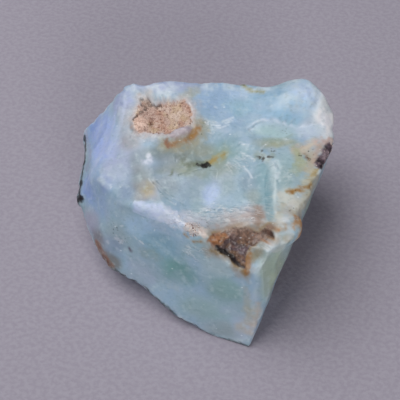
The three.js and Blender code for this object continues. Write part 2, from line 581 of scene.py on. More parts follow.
@dataclass
class Skin:
    """The stone's skin while it is worked: places, the ways out of it, relief, colours and marks."""

    points: Array
    out: Array
    triangles: Array
    joined: Neighbours = field(init=False)
    height: Array = field(init=False)
    colours: Array = field(init=False)
    marks: Array = field(init=False)
    surfaces: Array = field(init=False)
    sharpness: Array = field(init=False)

    def __post_init__(self) -> None:
        """Starts with no relief, no marks and the plain body colour, and finds the sharp edges."""
        count = len(self.points)
        self.joined = Neighbours(self.triangles, count)
        self.height = np.zeros(count)
        self.colours = np.tile(linear_colour(BODY_BLUE), (count, 1))
        self.marks = np.zeros((count, len(Mark)))
        self.surfaces = np.zeros((count, len(Surface)))
        self.surfaces[:, Surface.OPAL.value] = 0.5
        rounded = self.joined.smooth(self.points, 12)
        self.sharpness = np.einsum("ij,ij->i", self.points - rounded, self.out)

    def near(self, path: tuple[Place, ...], reach: float) -> tuple[Array, Array]:
        """Finds the points close to a path or a place.

        Args:
            path: corners of a chain of straight lines, or a single place.
            reach: how far from it still counts, in millimetres.

        Returns:
            The numbers of the points, and their distances.
        """
        chain = np.array(path, float)
        inside = (self.points > chain.min(0) - reach) & (self.points < chain.max(0) + reach)
        chosen = np.nonzero(inside.all(1))[0]
        gap = path_distance(self.points[chosen], path)
        close = gap < reach
        return chosen[close], gap[close]

    def lay(self, colour: str, mask: Array, chosen: Array | slice = slice(None)) -> None:
        """Lays a colour over what is there, as far as the mask says, on the chosen points."""
        share = np.clip(mask, 0, 1)[:, None]
        self.colours[chosen] = self.colours[chosen] * (1 - share) + linear_colour(colour) * share

    def mark(self, kind: Mark, mask: Array, chosen: Array | slice = slice(None)) -> None:
        """Sets a mark on the chosen points, where it isn't stronger there already."""
        self.marks[chosen, kind.value] = np.maximum(self.marks[chosen, kind.value], mask)

    def turn_into(self, kind: Surface, mask: Array, chosen: Array | slice = slice(None)) -> None:
        """Says that the chosen points belong to another surface, as far as the mask says."""
        self.surfaces[chosen, kind.value] = np.maximum(self.surfaces[chosen, kind.value], mask)

    def raised(self, chosen: Array) -> Array:
        """How far each chosen point stands above the relief around it, in millimetres."""
        return (self.height - self.joined.smooth(self.height[:, None], 5)[:, 0])[chosen]

    def face_surfaces(self) -> Array:
        """The surface that each triangle belongs to, as its number."""
        return self.surfaces[self.triangles].sum(1).argmax(1)

    def worked(self) -> Array:
        """The places with their relief."""
        return self.points + self.out * self.height[:, None]


@dataclass(frozen=True)
class Cloud:
    """A soft cloud of colour in the stone: its middle, its three radii, its colour and its strength."""

    name: str
    middle: Place
    radii: Place
    colour: str
    strength: float = 0.85

    def mask(self, points: Array) -> Array:
        """How much of the cloud each point gets, from 0 to 1."""
        gap = np.linalg.norm((points - np.array(self.middle)) / np.array(self.radii), axis=1)
        return self.strength * (1 - ramp(gap, 0.35, 1.3))


@dataclass(frozen=True)
class Band:
    """A band or spot of colour on the skin, with a soft ragged edge and sometimes a core.

    A band over the crust is laid once more when the crust is done.
    """

    name: str
    path: tuple[Place, ...]
    half_width: float
    colour: str
    strength: float = 1.0
    softness: float = 0.4
    ragged: float = 0.3
    lumps: float = 1.2
    core: str = ""
    mottled: float = 0.35
    mineral: Surface = Surface.OPAL
    over_crust: bool = False

    def work(self, skin: Skin) -> None:
        """Lays the band on the skin, and its darker or paler core.

        Args:
            skin: the stone's skin.
        """
        seed = own_seed(self.name)
        chosen, gap = skin.near(self.path, self.half_width + self.softness + 2 * self.ragged)
        points = skin.points[chosen]
        gap = gap + self.ragged * noise(points, self.lumps, seed, 3)
        edge = self.softness / 2
        mask = self.strength * (1 - ramp(gap, self.half_width - edge, self.half_width + edge))
        patches = ramp(noise(points, 0.9, seed + 5, 2), -0.1, 0.7)
        skin.lay(self.colour, mask * (1 - self.mottled * patches), chosen)
        if self.core:
            inner = 1 - ramp(gap, -0.1, 0.75 * self.half_width)
            skin.lay(self.core, self.strength * inner * (1 - self.mottled * patches), chosen)
        if self.mineral is not Surface.OPAL:
            skin.turn_into(self.mineral, mask, chosen)


@dataclass(frozen=True)
class Seam:
    """A crisp line on the skin with a colour that fades away on one side of it."""

    name: str
    path: tuple[Place, ...]
    side: Place
    reach: float
    colour: str
    strength: float = 0.8
    crispness: float = 0.15
    wander: float = 0.12
    drop: float = 0.0

    def work(self, skin: Skin) -> None:
        """Lays the colour, and lowers the skin a little on the same side.

        Args:
            skin: the stone's skin.
        """
        seed = own_seed(self.name)
        chosen, _ = skin.near(self.path, self.reach + 1)
        points = skin.points[chosen]
        across = side_of_path(points, self.path, self.side) + self.wander * noise(points, 1.4, seed, 2)
        fade = 1 - ramp(across + 0.25 * self.reach * noise(points, 2.4, seed + 3, 2), 0, self.reach)
        mask = ramp(across, -self.crispness, self.crispness) * fade
        skin.height[chosen] -= self.drop * mask
        skin.lay(self.colour, self.strength * mask, chosen)


BODY_BLUE = "98b3ca"
BODY_GREEN = "93adb2"

CLOUDS = (
    Cloud("blue valley", (6, 18.5, 27.7), (13, 6, 4), "97b3d3"),
    Cloud("teal heart of the valley", (9, 17.5, 27.5), (6, 3, 3), "7facbd", 0.6),
    Cloud("pale back lobe", (24, 19, 28.5), (6, 6, 3), "cbddf9"),
    # Painted highlight: near white laid on the lobe's right rim, which turns away from the lights
    Cloud("painted highlight on the rim of the lobe", (28.5, 15.5, 26.5), (3.4, 8, 4), "ffffff", 0.95),
    Cloud("lavender strip behind the crust", (-10, 22.8, 28.7), (11, 2.6, 3), "9ca5c7"),
    Cloud("blue dish", (-26.7, 19.1, 18.1), (5, 6, 5), "7a93cc"),
    Cloud("lavender shoulder", (-20.5, 5.5, 23.8), (5.5, 8, 4), "aab1ce"),
    Cloud("grey trough", (-8, 5, 25.5), (9, 2.8, 3), "7f8b8b"),
    Cloud("green end of the trough", (-4.5, 3.5, 25), (4, 1.8, 2), "6d776b"),
    Cloud("blue grey above the ridge", (-18.6, -2.7, 22.5), (4, 4, 3), "8599b5"),
    Cloud("blue left corner", (-28, 1.8, 15.6), (4, 5, 4), "8ca6dc"),
    Cloud("left front facet", (-24.9, -2.7, 16), (3, 4, 5), "94adcf"),
    Cloud("mauve foot of the left facet", (-27.1, -4.4, 10.5), (3, 4, 4), "a3a2b9"),
    Cloud("grey blue middle", (4.3, 6.4, 25.4), (5, 3, 3), "8aabb4"),
    Cloud("pale band under the ledge", (16, 11, 26.6), (7, 2.5, 2), "a9c6ca"),
    Cloud("pale right end of the ledge", (24, 11.6, 26.4), (4, 2.8, 2), "b5c2d5"),
    Cloud("olive band by the specks", (16.5, 7.6, 26), (5, 1.5, 2), "9fa180", 0.75),
    Cloud("middle hollow", (-3.8, -2.4, 24.2), (10, 6, 3), "a1b2c0", 0.6),
    # Painted reflection: a pale bluish-white spot where the lights are mirrored in the floor of the hollow
    Cloud("painted reflection in the hollow", (1.2, -4.5, 23.3), (2.4, 3.6, 2), "b1c4e7"),
    # Teal strip: partly the stone's own teal, partly painted shade at the foot of the step
    Cloud("teal strip beside the step", (12, -3, 24), (1.9, 8, 2.5), "7098a6", 0.8),
    Cloud("block", (18.5, -1, 26), (4, 6, 2), "9cb5ba"),
    Cloud("white part of the block", (17.2, -7.5, 25.2), (2.8, 4.2, 2), "c9d5d3"),
    Cloud("front below the ridge", (-14.5, -10.5, 19), (6, 3, 3.5), "a7c5e1"),
    Cloud("front left corner", (-21.2, -9.6, 14), (4, 4, 4), "98acb8"),
    Cloud("blue front", (-10.5, -14.5, 16.5), (7, 5, 4), "81a7bc"),
    Cloud("green front", (-6, -18.6, 13.3), (6, 4, 4), "6e9d9d"),
    Cloud("lavender lower left front", (-15.5, -16.7, 7.6), (6, 4, 5), "9eafc5"),
    Cloud("lower front", (-1.5, -25.1, 6.5), (8, 4, 4), "93aeb4"),
    Cloud("green right front", (4.1, -23.3, 13), (5, 4, 4), "86a7a8"),
    Cloud("cream tip", (8.8, -28.5, 4.5), (4, 4, 5), "abbbd0"),
    Cloud("mauve below the iron", (2.9, -19.9, 18.5), (4, 3, 3), "adc0cb"),
    Cloud("grey green tip side", (15, -21, 17), (4, 6, 9), "a8b7a0"),
    Cloud("blue at the right of the valley", (19, 16.5, 27.5), (7, 4, 4), "a2c8e3"),
    Cloud("lavender left slope", (-24.5, 12, 20.5), (5, 10, 6), "a6baec", 0.9),
    Cloud("lavender top left corner", (-19.5, 19.5, 26), (4, 4, 3), "969fcc", 0.9),
    Cloud("blue behind the block", (20, 3, 26), (4, 3, 2), "a1bcc5"),
    Cloud("mauve halo left of the crust", (-19.1, 14.5, 26), (3, 5, 2), "999fb0", 0.85),
    Cloud("grey under the left of the crust", (-17.5, 8.8, 25.5), (3.5, 2.6, 2), "9a9aa2", 0.85),
    Cloud("grey slope left of the chip", (-15.5, 4, 25), (3.2, 3.4, 2), "8692a2"),
    Cloud("dull hollow behind the tan cloud", (-14, 0.5, 24.8), (4, 2.6, 2), "7f8f9c"),
    Cloud("green grey right of the trough", (-7.5, 1.6, 24.9), (4.5, 2, 2), "738076", 0.9),
    Cloud("warm grey round the tan cloud", (-13.6, -3, 24.3), (3.8, 3.2, 2), "86837c", 0.9),
    Cloud("grey above the ridge", (-13.4, -5.4, 24), (3.4, 1.8, 2), "85858f"),
    Cloud("grey right of the tan cloud", (-8.5, -2.4, 24.6), (3, 3, 2), "8c9aa4", 0.75),
    Cloud("green grey right of the spot", (3.8, 1.5, 24), (3.5, 3, 2), "919e97", 0.75),
    Cloud("blue grey right of the painted reflection", (4.8, -2, 23.6), (2.4, 3, 2), "98adb4", 0.7),
    Cloud("blue foot of the step", (10, -1.8, 23.7), (2.4, 4, 2), "7e96a8", 0.75),
    Cloud("grey foot of the step", (10.4, -5.8, 23.6), (2.2, 2.6, 2), "819391", 0.75),
    Cloud("shade of the valley", (12.8, 17.8, 28), (4.4, 3.4, 2), "7fa8c2"),
    Cloud("front of the valley", (10.3, 13.4, 27), (3, 2.6, 2), "8fadc3", 0.75),
    Cloud("dull corner of the step", (12.9, -9.6, 24.1), (1.6, 2.5, 1.6), "817667"),
    Cloud("warm edge of the block", (14.4, -10, 25.2), (1.5, 2.6, 1.5), "9f9f98"),
    Cloud("warm end of the block", (15.9, -13.7, 25.5), (2.2, 1.8, 1.5), "a09385", 0.8),
    Cloud("white corner of the block", (19.8, -9, 25), (2.4, 4, 1.8), "b9bbb9"),
    Cloud("dull inside of the lip", (12.6, -17.6, 23.2), (1.6, 1.3, 1.3), "706757", 0.9),
    Cloud("grey below the lip", (11.1, -18.9, 22), (1.5, 1.7, 1.8), "989786"),
    Cloud("grey lip", (17.1, -16.6, 24.6), (1.9, 1.6, 1.4), "ada58b"),
    Cloud("grey left foot", (-25.4, -8.6, 9.4), (3.2, 3.6, 3), "807c82"),
    Cloud("dark left foot", (-22.6, -12.3, 7.2), (3, 3, 2.6), "776e6b"),
    Cloud("dull blue over the left foot", (-21.6, -10.6, 11), (3.6, 3, 2.6), "8a9bb5", 0.7),
    Cloud("dull left crest", (-22.6, 3.2, 22.4), (2.4, 3, 2.4), "8b98b7", 0.8),
    Cloud("dull left corner", (-24, 0, 21), (2.6, 2.8, 2.6), "8697c5", 0.7),
    Cloud("grey foot of the front", (4, -28.4, 2.8), (6, 3, 2.6), "94a1a9", 0.7),
    # Painted highlight: a second near-white cloud on the same rim of the lobe
    Cloud("painted highlight on the edge of the lobe", (29.6, 15.5, 25.8), (3.4, 8, 3.4), "fffbff", 0.95),
    Cloud("olive right of the iron", (10.2, -19.3, 21.3), (1.6, 2, 2), "929074"),
    Cloud("deep shade of the valley", (13.8, 18.8, 28.3), (4.6, 4, 2.5), "85a9c4"),
    Cloud("olive grey behind the spot", (-1.5, 6.5, 25.5), (4, 2.4, 2), "92947e", 0.7),
    Cloud("dull right of the left crest", (-15.2, -1.5, 24.2), (3, 6, 2.4), "84898b", 0.6),
    Cloud("lavender back", (-12, 24, 18), (12, 6, 8), "a9b6c9"),
    Cloud("green right side", (24, -4, 14), (8, 10, 9), "8a9d88", 0.8),
    Cloud("green foot of the right wall", (18.5, -26, 5), (5, 6, 7), "93a08f", 0.8),
    Cloud("green middle of the right wall", (21.5, -16.5, 14), (5, 8, 8), "8a9b88", 0.8),
    Cloud("grey green lip of the block", (18.6, -13.5, 22.5), (3, 3, 2.2), "a9ada0", 0.5),
    Cloud("cream weathering at the back", (10, 22, 12), (9, 6, 6), "b6b7a6", 0.75),
    Cloud("brown weathering at the back", (16, 19, 10), (4, 4, 4), "94836a", 0.5),
    Cloud("grey weathering on the left", (-27, 12, 6), (5, 8, 4), "8e9497", 0.7),
)


@dataclass
class OpalBody:
    """The milky body: its clouds of colour, the grain of its broken faces, and its worn edges, paled partly
    by crushing and partly by painted highlight.
    """

    drift: float = 0.7
    grain_height: float = 0.05
    grain_size: float = 2.4
    edge_chip_depth: float = 0.3
    hazes: tuple[tuple[str, float, float], ...] = (
        ("b4c6d6", 0.14, 0.1), ("87a7ae", 0.2, 0.1), ("a9b3cc", 0.22, 0.2),
    )
    pale_edge_and_highlight_colour: str = "c9d5de"
    pale_edge_and_highlight_strength: float = 0.6
    fleck_cell: float = 2.6
    fleck_share: float = 0.2
    fleck_half_width: float = 0.2
    fleck_depth: float = 0.08
    fleck_colour: str = "d8e2ec"

    def relief(self, skin: Skin) -> None:
        """Adds the fine unevenness of the broken faces and the nicks along the edges.

        Args:
            skin: the stone's skin.
        """
        points = skin.points
        skin.height += self.grain_height * noise(points, self.grain_size, 5, 3)
        edge = ramp(skin.sharpness, 0.05, 0.22)
        chosen = np.nonzero(edge > 0)[0]
        nicks = np.maximum(noise(points[chosen], 1.7, 8, 2) + 0.1, 0)
        skin.height[chosen] -= self.edge_chip_depth * edge[chosen] * nicks

    def paint(self, skin: Skin) -> None:
        """Lays the clouds, three faint hazes, the pale edges, partly crushed stone and partly painted
        highlight, and the small white flecks.

        Args:
            skin: the stone's skin.
        """
        points = skin.points
        drift = np.stack([noise(points, 4, 40 + k, 2) for k in range(3)], 1)
        drifted = points + self.drift * drift
        skin.lay(BODY_GREEN, 0.5 * ramp(noise(points, 9, 3, 3), -0.3, 0.6))
        for cloud in CLOUDS:
            skin.lay(cloud.colour, cloud.mask(drifted))
        for (colour, strength, start), amount in zip(self.hazes, drift.T):
            skin.lay(colour, strength * ramp(amount, start, 0.9))
        # Pale edges: partly the whiter crushed stone, partly painted highlight along the sharp edges
        edge = ramp(skin.sharpness, 0.04, 0.2)
        chosen = np.nonzero(edge > 0)[0]
        broken = ramp(noise(points[chosen], 1.6, 14, 2), -0.6, 0.6)
        skin.lay(self.pale_edge_and_highlight_colour, self.pale_edge_and_highlight_strength * edge[chosen] * broken, chosen)
        self.flecks(skin)

    def flecks(self, skin: Skin) -> None:
        """Lays small white marks where the surface was struck, each turned its own way.

        Args:
            skin: the stone's skin.
        """
        spot = skin.points / self.fleck_cell
        cell = np.floor(spot)
        chance = cell_random(cell, 71)
        middle = np.stack([0.25 + 0.5 * cell_random(cell, 72 + k) for k in range(3)], 1)
        offset = (spot - cell - middle) * self.fleck_cell
        turn = 2 * math.pi * cell_random(cell, 76)
        way = np.stack([np.cos(turn), np.sin(turn), 0.7 * cell_random(cell, 77)], 1)
        way /= np.linalg.norm(way, axis=1, keepdims=True)
        along = np.einsum("ij,ij->i", offset, way)
        across = np.linalg.norm(offset - along[:, None] * way, axis=1)
        length = 0.3 + 0.5 * cell_random(cell, 78)
        reach = np.hypot(along / length, across / self.fleck_half_width)
        mark = (1 - ramp(reach, 0.6, 1.3)) * (chance < self.fleck_share)
        skin.height -= self.fleck_depth * mark
        skin.lay(self.fleck_colour, 0.5 * mark)


@dataclass(frozen=True)
class CrustColours:
    """The colours of the crust patch and of the chalk around it."""

    chalk: str = "a2a4aa"
    pink_chalk: str = "b7a6a3"
    island: str = "c8c8ce"
    tan_chalk: str = "b39c8f"
    sand: str = "c9b0a6"
    salmon: str = "bf957f"
    tan: str = "d3c0a2"
    pale: str = "dccbc1"
    orange: str = "b57f62"
    pink_nodule: str = "e3c6b8"
    small_nodule: str = "b09a8e"
    lens: str = "a597a2"
    lens_top: str = "b9b0b8"


@dataclass
class CrustPatch:
    """The pit of sandy pink crust in the top, its chalky surround and the smooth grey lens."""

    outline: tuple[tuple[float, float], ...] = (
        (-17.2, 14.0), (-16.2, 16.6), (-15.5, 19.2), (-13.6, 19.4), (-12.4, 17.8), (-9.7, 18.3),
        (-5.2, 18.9), (-3.1, 15.8), (-3.6, 12.2), (-8.2, 9.7), (-12.6, 9.9), (-15.8, 10.6),
    )
    middle: Place = (-10, 14, 27)
    reach: float = 14.0
    ragged: float = 0.45
    chalk_width: float = 2.5
    nodules: tuple[Ball, ...] = (
        Ball("pink nodule", (-15.6, 12.9, 26.9), (2.1, 2.1, 0.6)),
        Ball("small nodule", (-14.3, 18.5, 27.6), (1.2, 1.1, 0.45)),
    )
    lens: Ball = Ball("grey lens", (-5.9, 9.9, 27.2), (2.9, 1.3, 0.3))
    lens_turn: float = 0.34
    sand_relief: float = 0.16
    sand_depth: float = 0.12
    colours: CrustColours = CrustColours()

    def dome(self, points: Array, ball: Ball, turn: float = 0.0) -> Array:
        """The height of a rounded bump, seen from above.

        Args:
            points: places in millimetres.
            ball: the bump's middle and radii.
            turn: how far it is turned about the upright, in radians.

        Returns:
            One height a point, from 0 outside the bump to 1 at its top.
        """
        offset = points[:, :2] - np.array(ball.centre[:2])
        along = offset @ np.array([math.cos(turn), math.sin(turn)])
        across = offset @ np.array([-math.sin(turn), math.cos(turn)])
        gap = np.hypot(along / ball.radii[0], across / ball.radii[1])
        return np.sqrt(np.maximum(1 - gap * gap, 0))

    def work(self, skin: Skin) -> None:
        """Roughens and colours the pit, its nodules, its lens and the chalk around it.

        Args:
            skin: the stone's skin.
        """
        chosen, _ = skin.near((self.middle,), self.reach)
        points = skin.points[chosen]
        up = ramp(skin.out[chosen, 2], 0.3, 0.5)
        gap = outline_distance(points, self.outline) + self.ragged * noise(points, 1.4, 21, 3)
        lens = self.dome(points, self.lens, self.lens_turn) * up
        bare = 1 - np.clip(3 * lens, 0, 1)
        inside = (1 - ramp(gap, -0.3, 0.2)) * up * bare
        bumps = [self.dome(points, ball) * up for ball in self.nodules]
        rough = self.sand_relief * noise(points, 1.6, 23, 3)
        skin.height[chosen] += inside * (rough - self.sand_depth)
        for ball, bump in zip(self.nodules, bumps):
            skin.height[chosen] += ball.radii[2] * bump
        skin.height[chosen] += self.lens.radii[2] * lens
        self.paint_chalk(skin, chosen, gap, up)
        self.paint_sand(skin, chosen, inside, bumps)
        skin.lay(self.colours.lens, 0.9 * ramp(lens, 0.0, 0.6), chosen)
        patches = ramp(noise(points, 1.2, 32, 2), -0.3, 0.5)
        skin.lay(self.colours.lens_top, 0.4 * ramp(lens, 0.6, 1.0) * patches, chosen)
        smooth = 1 - 0.7 * np.clip(2 * bumps[0], 0, 1)
        skin.mark(Mark.GRAINS, inside * smooth, chosen)
        skin.turn_into(Surface.CRUST, inside, chosen)

    def paint_chalk(self, skin: Skin, chosen: Array, gap: Array, up: Array) -> None:
        """Lays the chalk around the pit, with brighter islands and a few crumbs.

        Args:
            skin: the stone's skin.
            chosen: the points around the pit.
            gap: their distance outside the pit.
            up: how far each looks upward.
        """
        points = skin.points[chosen]
        hues = self.colours
        uneven = gap + 1.3 * noise(points, 3.0, 26, 3)
        chalk = ramp(gap, -0.4, 0.2) * (1 - ramp(uneven, self.chalk_width - 2.2, self.chalk_width)) * up
        skin.lay(hues.chalk, 0.6 * chalk, chosen)
        skin.lay(hues.pink_chalk, 0.65 * chalk * (1 - ramp(gap, 0.3, 1.4)), chosen)
        islands = chalk * ramp(noise(points, 1.5, 27, 3), 0.25, 0.8)
        skin.lay(hues.island, 0.5 * islands, chosen)
        skin.lay(hues.tan_chalk, 0.5 * chalk * ramp(noise(points, 1.9, 35, 3), 0.25, 0.7), chosen)
        skin.height[chosen] += 0.07 * islands
        skin.mark(Mark.CHALK, 0.3 * chalk, chosen)

    def paint_sand(
        self, skin: Skin, chosen: Array, inside: Array, bumps: list[Array]
    ) -> None:
        """Colours the sand: pink, with salmon, tan and orange patches and paler nodules.

        Args:
            skin: the stone's skin.
            chosen: the points around the pit.
            inside: how far each belongs to the sand.
            bumps: the height of each nodule at each point.
        """
        points = skin.points[chosen]
        hues = self.colours
        skin.lay(hues.sand, inside, chosen)
        skin.lay(hues.salmon, 0.6 * inside * ramp(noise(points, 2.6, 28, 2), 0.0, 0.6), chosen)
        skin.lay(hues.tan, 0.7 * inside * ramp(noise(points, 2.4, 29, 2), 0.1, 0.6), chosen)
        skin.lay(hues.pale, 0.8 * inside * ramp(noise(points, 1.4, 33, 2), 0.1, 0.7), chosen)
        skin.lay(hues.orange, 0.6 * inside * ramp(points[:, 0] + 0.4 * points[:, 1], 0.4, 3.4), chosen)
        skin.lay(hues.pink_nodule, 0.85 * np.clip(2 * bumps[0], 0, 1) * inside, chosen)
        skin.lay(hues.small_nodule, 0.7 * np.clip(2 * bumps[1], 0, 1) * inside, chosen)


@dataclass(frozen=True)
class IronColours:
    """The colours of the iron and of the rusty stone around it."""

    haze: str = "ab968e"
    plume: str = "8c7567"
    tan_rim: str = "a08f7c"
    olive_rim: str = "8a7246"
    ochre: str = "9a7042"
    body: str = "5c4a4b"
    purple: str = "75626a"
    brown: str = "8a6a52"
    upper: str = "92776a"
    arm: str = "86695a"
    orange: str = "9a6845"
    pale_orange: str = "b08866"
    # crest is painted highlight on the raised lumps of the iron, hollow is painted shade in its low places
    crest: str = "a08c86"
    hollow: str = "33272a"
    black: str = "1a1618"
    nub: str = "4a2f26"
    under_arm: str = "a5703f"
    upper_haze: str = "a08d80"


@dataclass
class IronHollow:
    """The dark brown iron in the front edge, with its orange left end, its right arm and its black rim."""

    outline: tuple[tuple[float, float], ...] = (
        (0.1, -16.4), (1.2, -14.6), (3.4, -14.1), (5.7, -13.2), (8.7, -13.2), (11.4, -13.9), (13.6, -12.9),
        (14.6, -14.2), (14.5, -16.4), (13.4, -16.2), (11.3, -16.2), (9.5, -17.0), (8.4, -19.2), (8.7, -21.6),
        (7.4, -21.1), (5.2, -19.1), (2.5, -18.2), (1.2, -17.5),
    )
    middle: Place = (7, -16.5, 21.8)
    reach: float = 12.0
    lowest: float = 18.2
    black: tuple[Place, ...] = (
        (2.0, -17.9, 22.7), (3.6, -18.3, 21.7), (5.4, -18.9, 20.6), (6.7, -20.3, 19.6), (7.4, -21.0, 19.4),
    )
    orange: tuple[Place, ...] = ((1.3, -16.3, 23.5), (3.0, -15.4, 23.6))
    arm: tuple[Place, ...] = ((8.7, -15.0, 22.8), (11.0, -14.9, 22.7), (13.8, -14.2, 24.1))
    nub: tuple[Place, ...] = ((13.7, -14.6, 24.3), (14.3, -15.6, 24.5))
    upper_haze: tuple[Place, ...] = (
        (2.6, -13.9, 23.4), (5.7, -12.9, 23.3), (8.7, -12.9, 23.4), (11.2, -13.3, 23.6),
    )
    under_arm: tuple[Place, ...] = ((12.4, -16.0, 23.2), (13.9, -16.6, 24.0))
    ochre: tuple[Place, ...] = ((9.0, -18.4, 21.2), (8.9, -20.2, 20.0), (8.8, -21.9, 19.2))
    haze: tuple[Place, ...] = ((4.5, -12.6, 23.3), (8.0, -11.4, 23.6), (11.4, -10.4, 24.0))
    plume: tuple[Place, ...] = ((11.6, -12.2, 24.0), (11.6, -10.2, 23.9), (11.5, -8.4, 23.9))
    depth: float = 0.2
    black_depth: float = 0.25
    colours: IronColours = IronColours()

    def strip(self, points: Array, path: tuple[Place, ...], width: float, soft: float) -> Array:
        """How much each point belongs to a ragged strip along a path."""
        gap = path_distance(points, path) + 0.35 * noise(points, 1.3, int(10 * width) + 33, 3)
        return 1 - ramp(gap, width - soft, width + soft)

    def work(self, skin: Skin) -> None:
        """Sinks the iron in with its rounded lumps, and colours it and the rusty stone around it.

        Args:
            skin: the stone's skin.
        """
        hues = self.colours
        chosen, _ = skin.near((self.middle,), self.reach)
        points = skin.points[chosen]
        gap = outline_distance(points, self.outline) + 0.35 * noise(points, 1.5, 33, 3)
        gap = np.maximum(gap, self.lowest - points[:, 2])
        rust = noise(points, 2.2, 36, 3)
        haze = 1 - ramp(path_distance(points, self.haze) + 0.9 * rust, 0.6, 3.0)
        skin.lay(hues.haze, 0.7 * haze, chosen)
        skin.lay(hues.plume, 0.85 * self.strip(points, self.plume, 1.0, 0.9), chosen)
        skin.lay(hues.tan_rim, 0.7 * (1 - ramp(gap + 0.5 * rust, 0.1, 1.9)), chosen)
        skin.lay(hues.olive_rim, 0.75 * (1 - ramp(gap + 0.4 * rust, 0.0, 0.6)), chosen)
        skin.lay(hues.ochre, 0.8 * self.strip(points, self.ochre, 0.6, 0.4), chosen)
        inside = 1 - ramp(gap, -0.35, 0.25)
        lumps = 0.3 * noise(points, 2.1, 35, 3) + 0.12 * noise(points, 0.9, 40, 2)
        calm = 1 - 0.7 * self.strip(points, self.orange, 1.5, 0.5)
        black = self.strip(points, self.black, 0.7, 0.35) * inside
        skin.height[chosen] += inside * (lumps * calm - self.depth) - self.black_depth * black
        self.paint(skin, chosen, inside, black)
        skin.turn_into(Surface.IRON, inside, chosen)

    def paint(self, skin: Skin, chosen: Array, inside: Array, black: Array) -> None:
        """Colours the iron from its purple body to its orange end, brown arm and black rim.

        Args:
            skin: the stone's skin.
            chosen: the points around the iron.
            inside: how far each belongs to the iron.
            black: how far each belongs to the black rim.
        """
        points = skin.points[chosen]
        hues = self.colours
        skin.lay(hues.body, inside, chosen)
        skin.lay(hues.purple, 0.8 * inside * ramp(noise(points, 1.9, 37, 2), -0.1, 0.6), chosen)
        skin.lay(hues.brown, 0.8 * inside * ramp(noise(points, 1.7, 38, 2), 0.15, 0.6), chosen)
        upper = ramp(points[:, 1], -16.6, -13.8)
        skin.lay(hues.upper, 0.85 * inside * upper, chosen)
        skin.lay(hues.arm, 0.8 * inside * self.strip(points, self.arm, 1.2, 0.4), chosen)
        orange = inside * self.strip(points, self.orange, 1.5, 0.5)
        skin.lay(hues.orange, orange, chosen)
        skin.lay(hues.pale_orange, 0.7 * orange * ramp(noise(points, 1.1, 39, 2), 0.0, 0.6), chosen)
        # Painted highlight on the raised lumps and painted shade in the low places between them
        raised = skin.raised(chosen)
        skin.lay(hues.crest, 0.45 * inside * ramp(raised, 0.03, 0.16), chosen)
        skin.lay(hues.hollow, 0.5 * inside * ramp(-raised, 0.03, 0.16), chosen)
        skin.lay(hues.black, 0.95 * black, chosen)
        skin.lay(hues.nub, 0.9 * self.strip(points, self.nub, 0.55, 0.25), chosen)
        skin.lay(hues.under_arm, 0.85 * self.strip(points, self.under_arm, 0.6, 0.35), chosen)
        skin.lay(hues.upper_haze, 0.7 * self.strip(points, self.upper_haze, 0.5, 0.9), chosen)
        skin.mark(Mark.SPECKS, 0.4 * inside, chosen)


@dataclass(frozen=True)
class Step:
    """A small broken step in the skin, seen from above. The stone is lower on its front side."""

    name: str
    path: tuple[Place, ...]
    drop: float
    fade: float
    paleness: float = 0.7
    edge: float = 0.16
    front: Place = (0, -1, 0)
    lip_colour: str = "e4ecf4"

    def work(self, skin: Skin) -> None:
        """Cuts the step and lays its pale lip.

        Args:
            skin: the stone's skin.
        """
        seed = own_seed(self.name)
        chosen, gap = skin.near(self.path, 3 * self.fade)
        points = skin.points[chosen]
        across = side_of_path(points, self.path, self.front) + 0.2 * noise(points, 2.0, seed, 2)
        low = ramp(across, -self.edge, self.edge)
        skin.height[chosen] -= self.drop * low * np.exp(-gap / self.fade)
        lip = np.exp(-(((across + 0.1) / 0.26) ** 2)) * (1 - ramp(gap, 0.3, 0.6))
        broken = ramp(noise(points, 1.5, seed + 3, 2), -0.6, 0.3)
        skin.lay(self.lip_colour, self.paleness * lip * broken, chosen)


